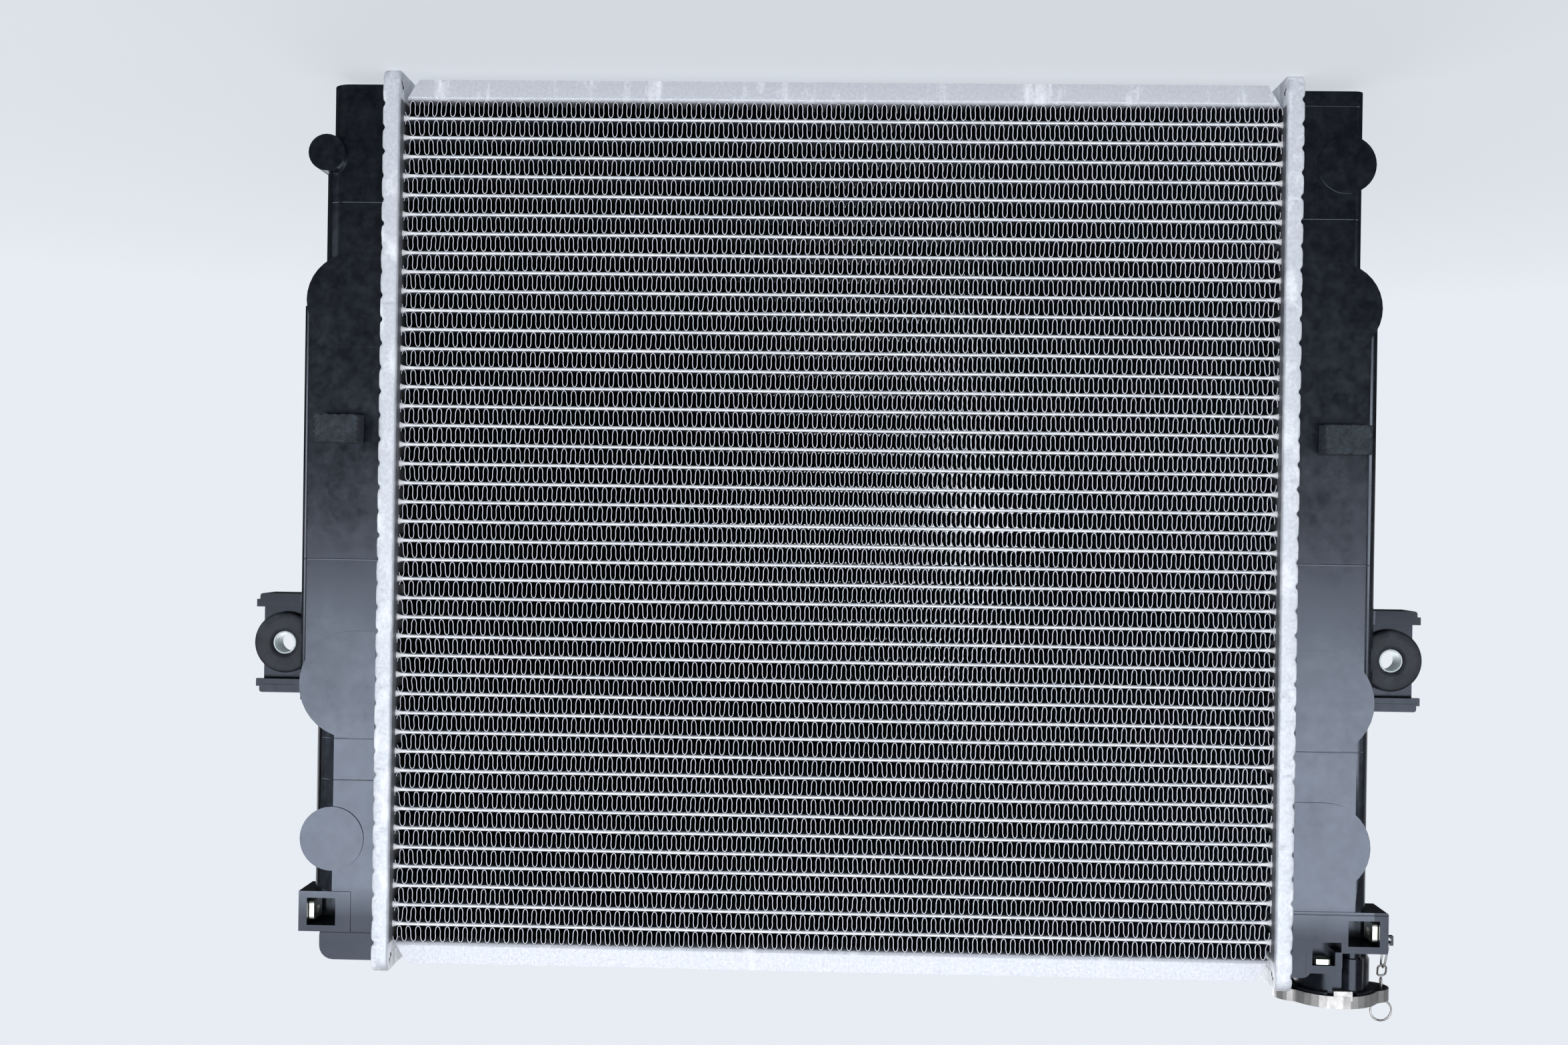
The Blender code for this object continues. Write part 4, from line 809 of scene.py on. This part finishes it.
def bush(side_name):
    """The rubber bush, moulded with soft rims."""
    node = f"bush_{side_name}"
    low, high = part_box(node)
    centre = (low + high) / 2
    radius = (high.x - low.x) / 2
    half = (high.y - low.y) / 2
    rim = [
        (BUSH_BORE, half - 1.6 * MM),
        (BUSH_BORE + 1.3 * MM, half - 0.2 * MM),
        (radius - 3.5 * MM, half),
        (radius - 0.9 * MM, half - 0.5 * MM),
        (radius, half - 1.9 * MM),
        (radius, half - BUSH_FLANGE),
        (BUSH_WAIST, half - BUSH_FLANGE),
    ]
    profile = rim + [(out, -height) for out, height in reversed(rim)]
    lathe(f"{node}_moulding", softened(profile, 0.7 * MM), centre, "black_rubber", node)


def sleeve(side_name):
    """The steel tube in the bush, with rounded edges."""
    node = f"bush_sleeve_{side_name}"
    low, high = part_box(node)
    centre = (low + high) / 2
    radius = (high.x - low.x) / 2
    half = (high.y - low.y) / 2
    bore = radius - SLEEVE_WALL
    profile = [(bore, half), (radius, half), (radius, -half), (bore, -half)]
    lathe(f"{node}_tube", softened(profile, 0.35 * MM), centre, "sleeve_zinc", node)


def foam_pad(side_name):
    """A foam block, crinkled in wavy rows on every face but its back."""
    node = f"foam_pad_{side_name}"
    low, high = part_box(node)
    low = low + Vector((FOAM_INSET, 0.0, FOAM_INSET))
    high = high - Vector((FOAM_INSET, 0.2 * MM, FOAM_INSET))
    bm = bmesh.new()
    box_into(bm, low, high)
    bmesh.ops.subdivide_edges(bm, edges=bm.edges, cuts=FOAM_CUTS, use_grid_fill=True)
    middle = (low + high) / 2
    half = (high - low) / 2
    for vert in bm.verts:
        spot = vert.co - middle
        rows = math.sin((spot.z * 2300.0) + 1.6 * math.sin(spot.x * 1500.0 + spot.z * 400.0))
        cloud = noise.noise(vert.co * 420.0)
        out = Vector((spot.x / half.x, spot.y / half.y, spot.z / half.z))
        push = Vector([c if abs(c) > 0.995 else 0.0 for c in out])
        # the faces go in and out in rows, and the block's edges are drawn in
        if push.length > 0.0 and push.y < 0.5:
            amount = FOAM_CRINKLE * (0.5 * rows + 0.7 * cloud - 0.6)
            corner = sorted((abs(c) for c in out), reverse=True)[1]
            amount -= 0.9 * MM * max(0.0, corner - 0.9) * 4
            vert.co += push.normalized() * amount
    piece = finish_piece(f"{node}_block", bm, "grey_foam", "radiator", node, 80.0)


# ---------------------------------------------------------------- camera, floor and light


def camera():
    """The camera, with the object's top towards the bottom of the picture."""
    data = bpy.data.cameras.new("camera")
    data.sensor_width = SENSOR_WIDTH
    data.lens = CAMERA_LENS
    obj = bpy.data.objects.new("camera", data)
    forward = Vector(CAMERA_FORWARD).normalized()
    right = Vector(CAMERA_RIGHT)
    right = (right - right.dot(forward) * forward).normalized()
    up = right.cross(forward)
    axes = Matrix((right, up, -forward)).transposed()
    obj.matrix_world = Matrix.Translation(CAMERA_PLACE) @ axes.to_4x4()
    bpy.context.scene.collection.objects.link(obj)
    bpy.context.scene.camera = obj


def soft_light(name, place, target, width, height, power, colour=(1.0, 1.0, 1.0)):
    """A rectangular soft light that faces a point."""
    data = bpy.data.lights.new(name, "AREA")
    data.shape = "RECTANGLE"
    data.size = width
    data.size_y = height
    data.energy = power
    data.color = colour
    obj = bpy.data.objects.new(name, data)
    obj.location = place
    obj.rotation_euler = (Vector(target) - Vector(place)).to_track_quat("-Z", "Y").to_euler()
    bpy.context.scene.collection.objects.link(obj)


PALE = (0.80, 0.845, 0.90)


def surroundings():
    """A pale backdrop for the camera, and for the light a bright side behind and a dim one in front."""
    world = bpy.data.worlds.new("studio")
    bpy.context.scene.world = world
    world.use_nodes = True
    nodes = world.node_tree.nodes
    links = world.node_tree.links
    nodes.clear()
    output = nodes.new("ShaderNodeOutputWorld")
    seen = nodes.new("ShaderNodeBackground")
    seen.inputs["Color"].default_value = (*PALE, 1.0)
    lit = nodes.new("ShaderNodeBackground")
    place = nodes.new("ShaderNodeTexCoord")
    split = nodes.new("ShaderNodeSeparateXYZ")
    links.new(place.outputs["Generated"], split.inputs["Vector"])
    side = nodes.new("ShaderNodeMapRange")
    side.inputs["From Min"].default_value = 0.35
    side.inputs["From Max"].default_value = 0.95
    side.inputs["To Min"].default_value = 0.12
    side.inputs["To Max"].default_value = 0.90
    links.new(split.outputs["Y"], side.inputs["Value"])
    lit.inputs["Color"].default_value = (0.93, 0.96, 1.0, 1.0)
    links.new(side.outputs["Result"], lit.inputs["Strength"])
    rays = nodes.new("ShaderNodeLightPath")
    mix = nodes.new("ShaderNodeMixShader")
    links.new(rays.outputs["Is Camera Ray"], mix.inputs["Fac"])
    links.new(lit.outputs["Background"], mix.inputs[1])
    links.new(seen.outputs["Background"], mix.inputs[2])
    links.new(mix.outputs["Shader"], output.inputs["Surface"])


def floor():
    """A plain pale floor that fades into the backdrop, and is dim where gloss on the object mirrors it."""
    shade = Shade("pale_floor")
    nodes = shade.nodes
    links = shade.links
    nodes.remove(shade.shader)
    diffuse = nodes.new("ShaderNodeBsdfDiffuse")
    diffuse.inputs["Color"].default_value = (0.72, 0.75, 0.79, 1.0)
    glow = nodes.new("ShaderNodeEmission")
    glow.inputs["Color"].default_value = (*PALE, 1.0)
    distance = nodes.new("ShaderNodeVectorMath")
    distance.operation = "LENGTH"
    links.new(shade.place, distance.inputs[0])
    far = shade.spread(distance.outputs["Value"], 0.25, 1.0, 0.70, 1.0)
    mix = nodes.new("ShaderNodeMixShader")
    links.new(far, mix.inputs["Fac"])
    links.new(diffuse.outputs["BSDF"], mix.inputs[1])
    links.new(glow.outputs["Emission"], mix.inputs[2])
    rays = nodes.new("ShaderNodeLightPath")
    dim = nodes.new("ShaderNodeBsdfDiffuse")
    dim.inputs["Color"].default_value = (0.05, 0.055, 0.06, 1.0)
    seen = nodes.new("ShaderNodeMixShader")
    links.new(rays.outputs["Is Glossy Ray"], seen.inputs["Fac"])
    links.new(mix.outputs["Shader"], seen.inputs[1])
    links.new(dim.outputs["BSDF"], seen.inputs[2])
    output = next(n for n in nodes if n.type == "OUTPUT_MATERIAL")
    links.new(seen.outputs["Shader"], output.inputs["Surface"])
    bm = bmesh.new()
    bmesh.ops.create_grid(bm, x_segments=1, y_segments=1, size=30.0)
    mesh = bpy.data.meshes.new("floor")
    bm.to_mesh(mesh)
    bm.free()
    mesh.materials.append(shade.material)
    ground = bpy.data.objects.new("floor", mesh)
    bpy.context.scene.collection.objects.link(ground)


def lights():
    """A wide panel in front, with its foot above the camera's height, and weaker lights around."""
    soft_light("panel", (0.0, -2.05, 0.81), (0.0, 0.0, 0.81), 2.4, 0.9, 32.0, (0.94, 0.96, 1.0))
    soft_light("key", (0.3, -1.0, 1.45), (0.0, 0.0, 0.25), 1.4, 0.7, 3.0, (0.97, 0.98, 1.0))
    soft_light("fill", (-1.6, -0.9, 0.0), (0.0, 0.0, 0.1), 0.8, 0.8, 8.0, (0.95, 0.97, 1.0))
    soft_light("side", (1.6, -0.9, 0.0), (0.0, 0.0, 0.1), 0.8, 0.8, 8.0, (0.95, 0.97, 1.0))
    soft_light("behind", (0.3, 1.4, 1.1), (0.0, 0.0, 0.25), 1.4, 0.9, 12.0)


def dress_cad_nodes():
    """Give every CAD piece that stays in view its finish."""
    for node, obj in frame["nodes"].items():
        if obj.hide_render:
            continue
        obj.data.materials.clear()
        obj.data.materials.append(MATERIALS[slot_of[node]])
        obj.data.shade_smooth()
        obj.data.set_sharp_from_angle(angle=math.radians(40.0))


def main():
    """Build the whole scene."""
    bpy.context.scene.view_settings.view_transform = "Standard"
    camera()
    surroundings()
    lights()
    floor()
    for index in range(TUBE_COUNT):
        tube(index)
    for index in range(TUBE_COUNT + 1):
        fin_row(index)
    side_plate("side_plate_top", 1)
    side_plate("side_plate_bottom", -1)
    for side_name in SIDES:
        header_plate(side_name)
        bush(side_name)
        sleeve(side_name)
        foam_pad(side_name)
        tank = f"tank_{side_name}"
        softened_copy(tank, f"{tank}_moulding", f"nylon_{side_name}", 0.45 * MM)
    softened_copy("drain_cock", "drain_cock_moulding", "black_nylon", 0.4 * MM)
    pressure_spring()
    dress_cad_nodes()


main()
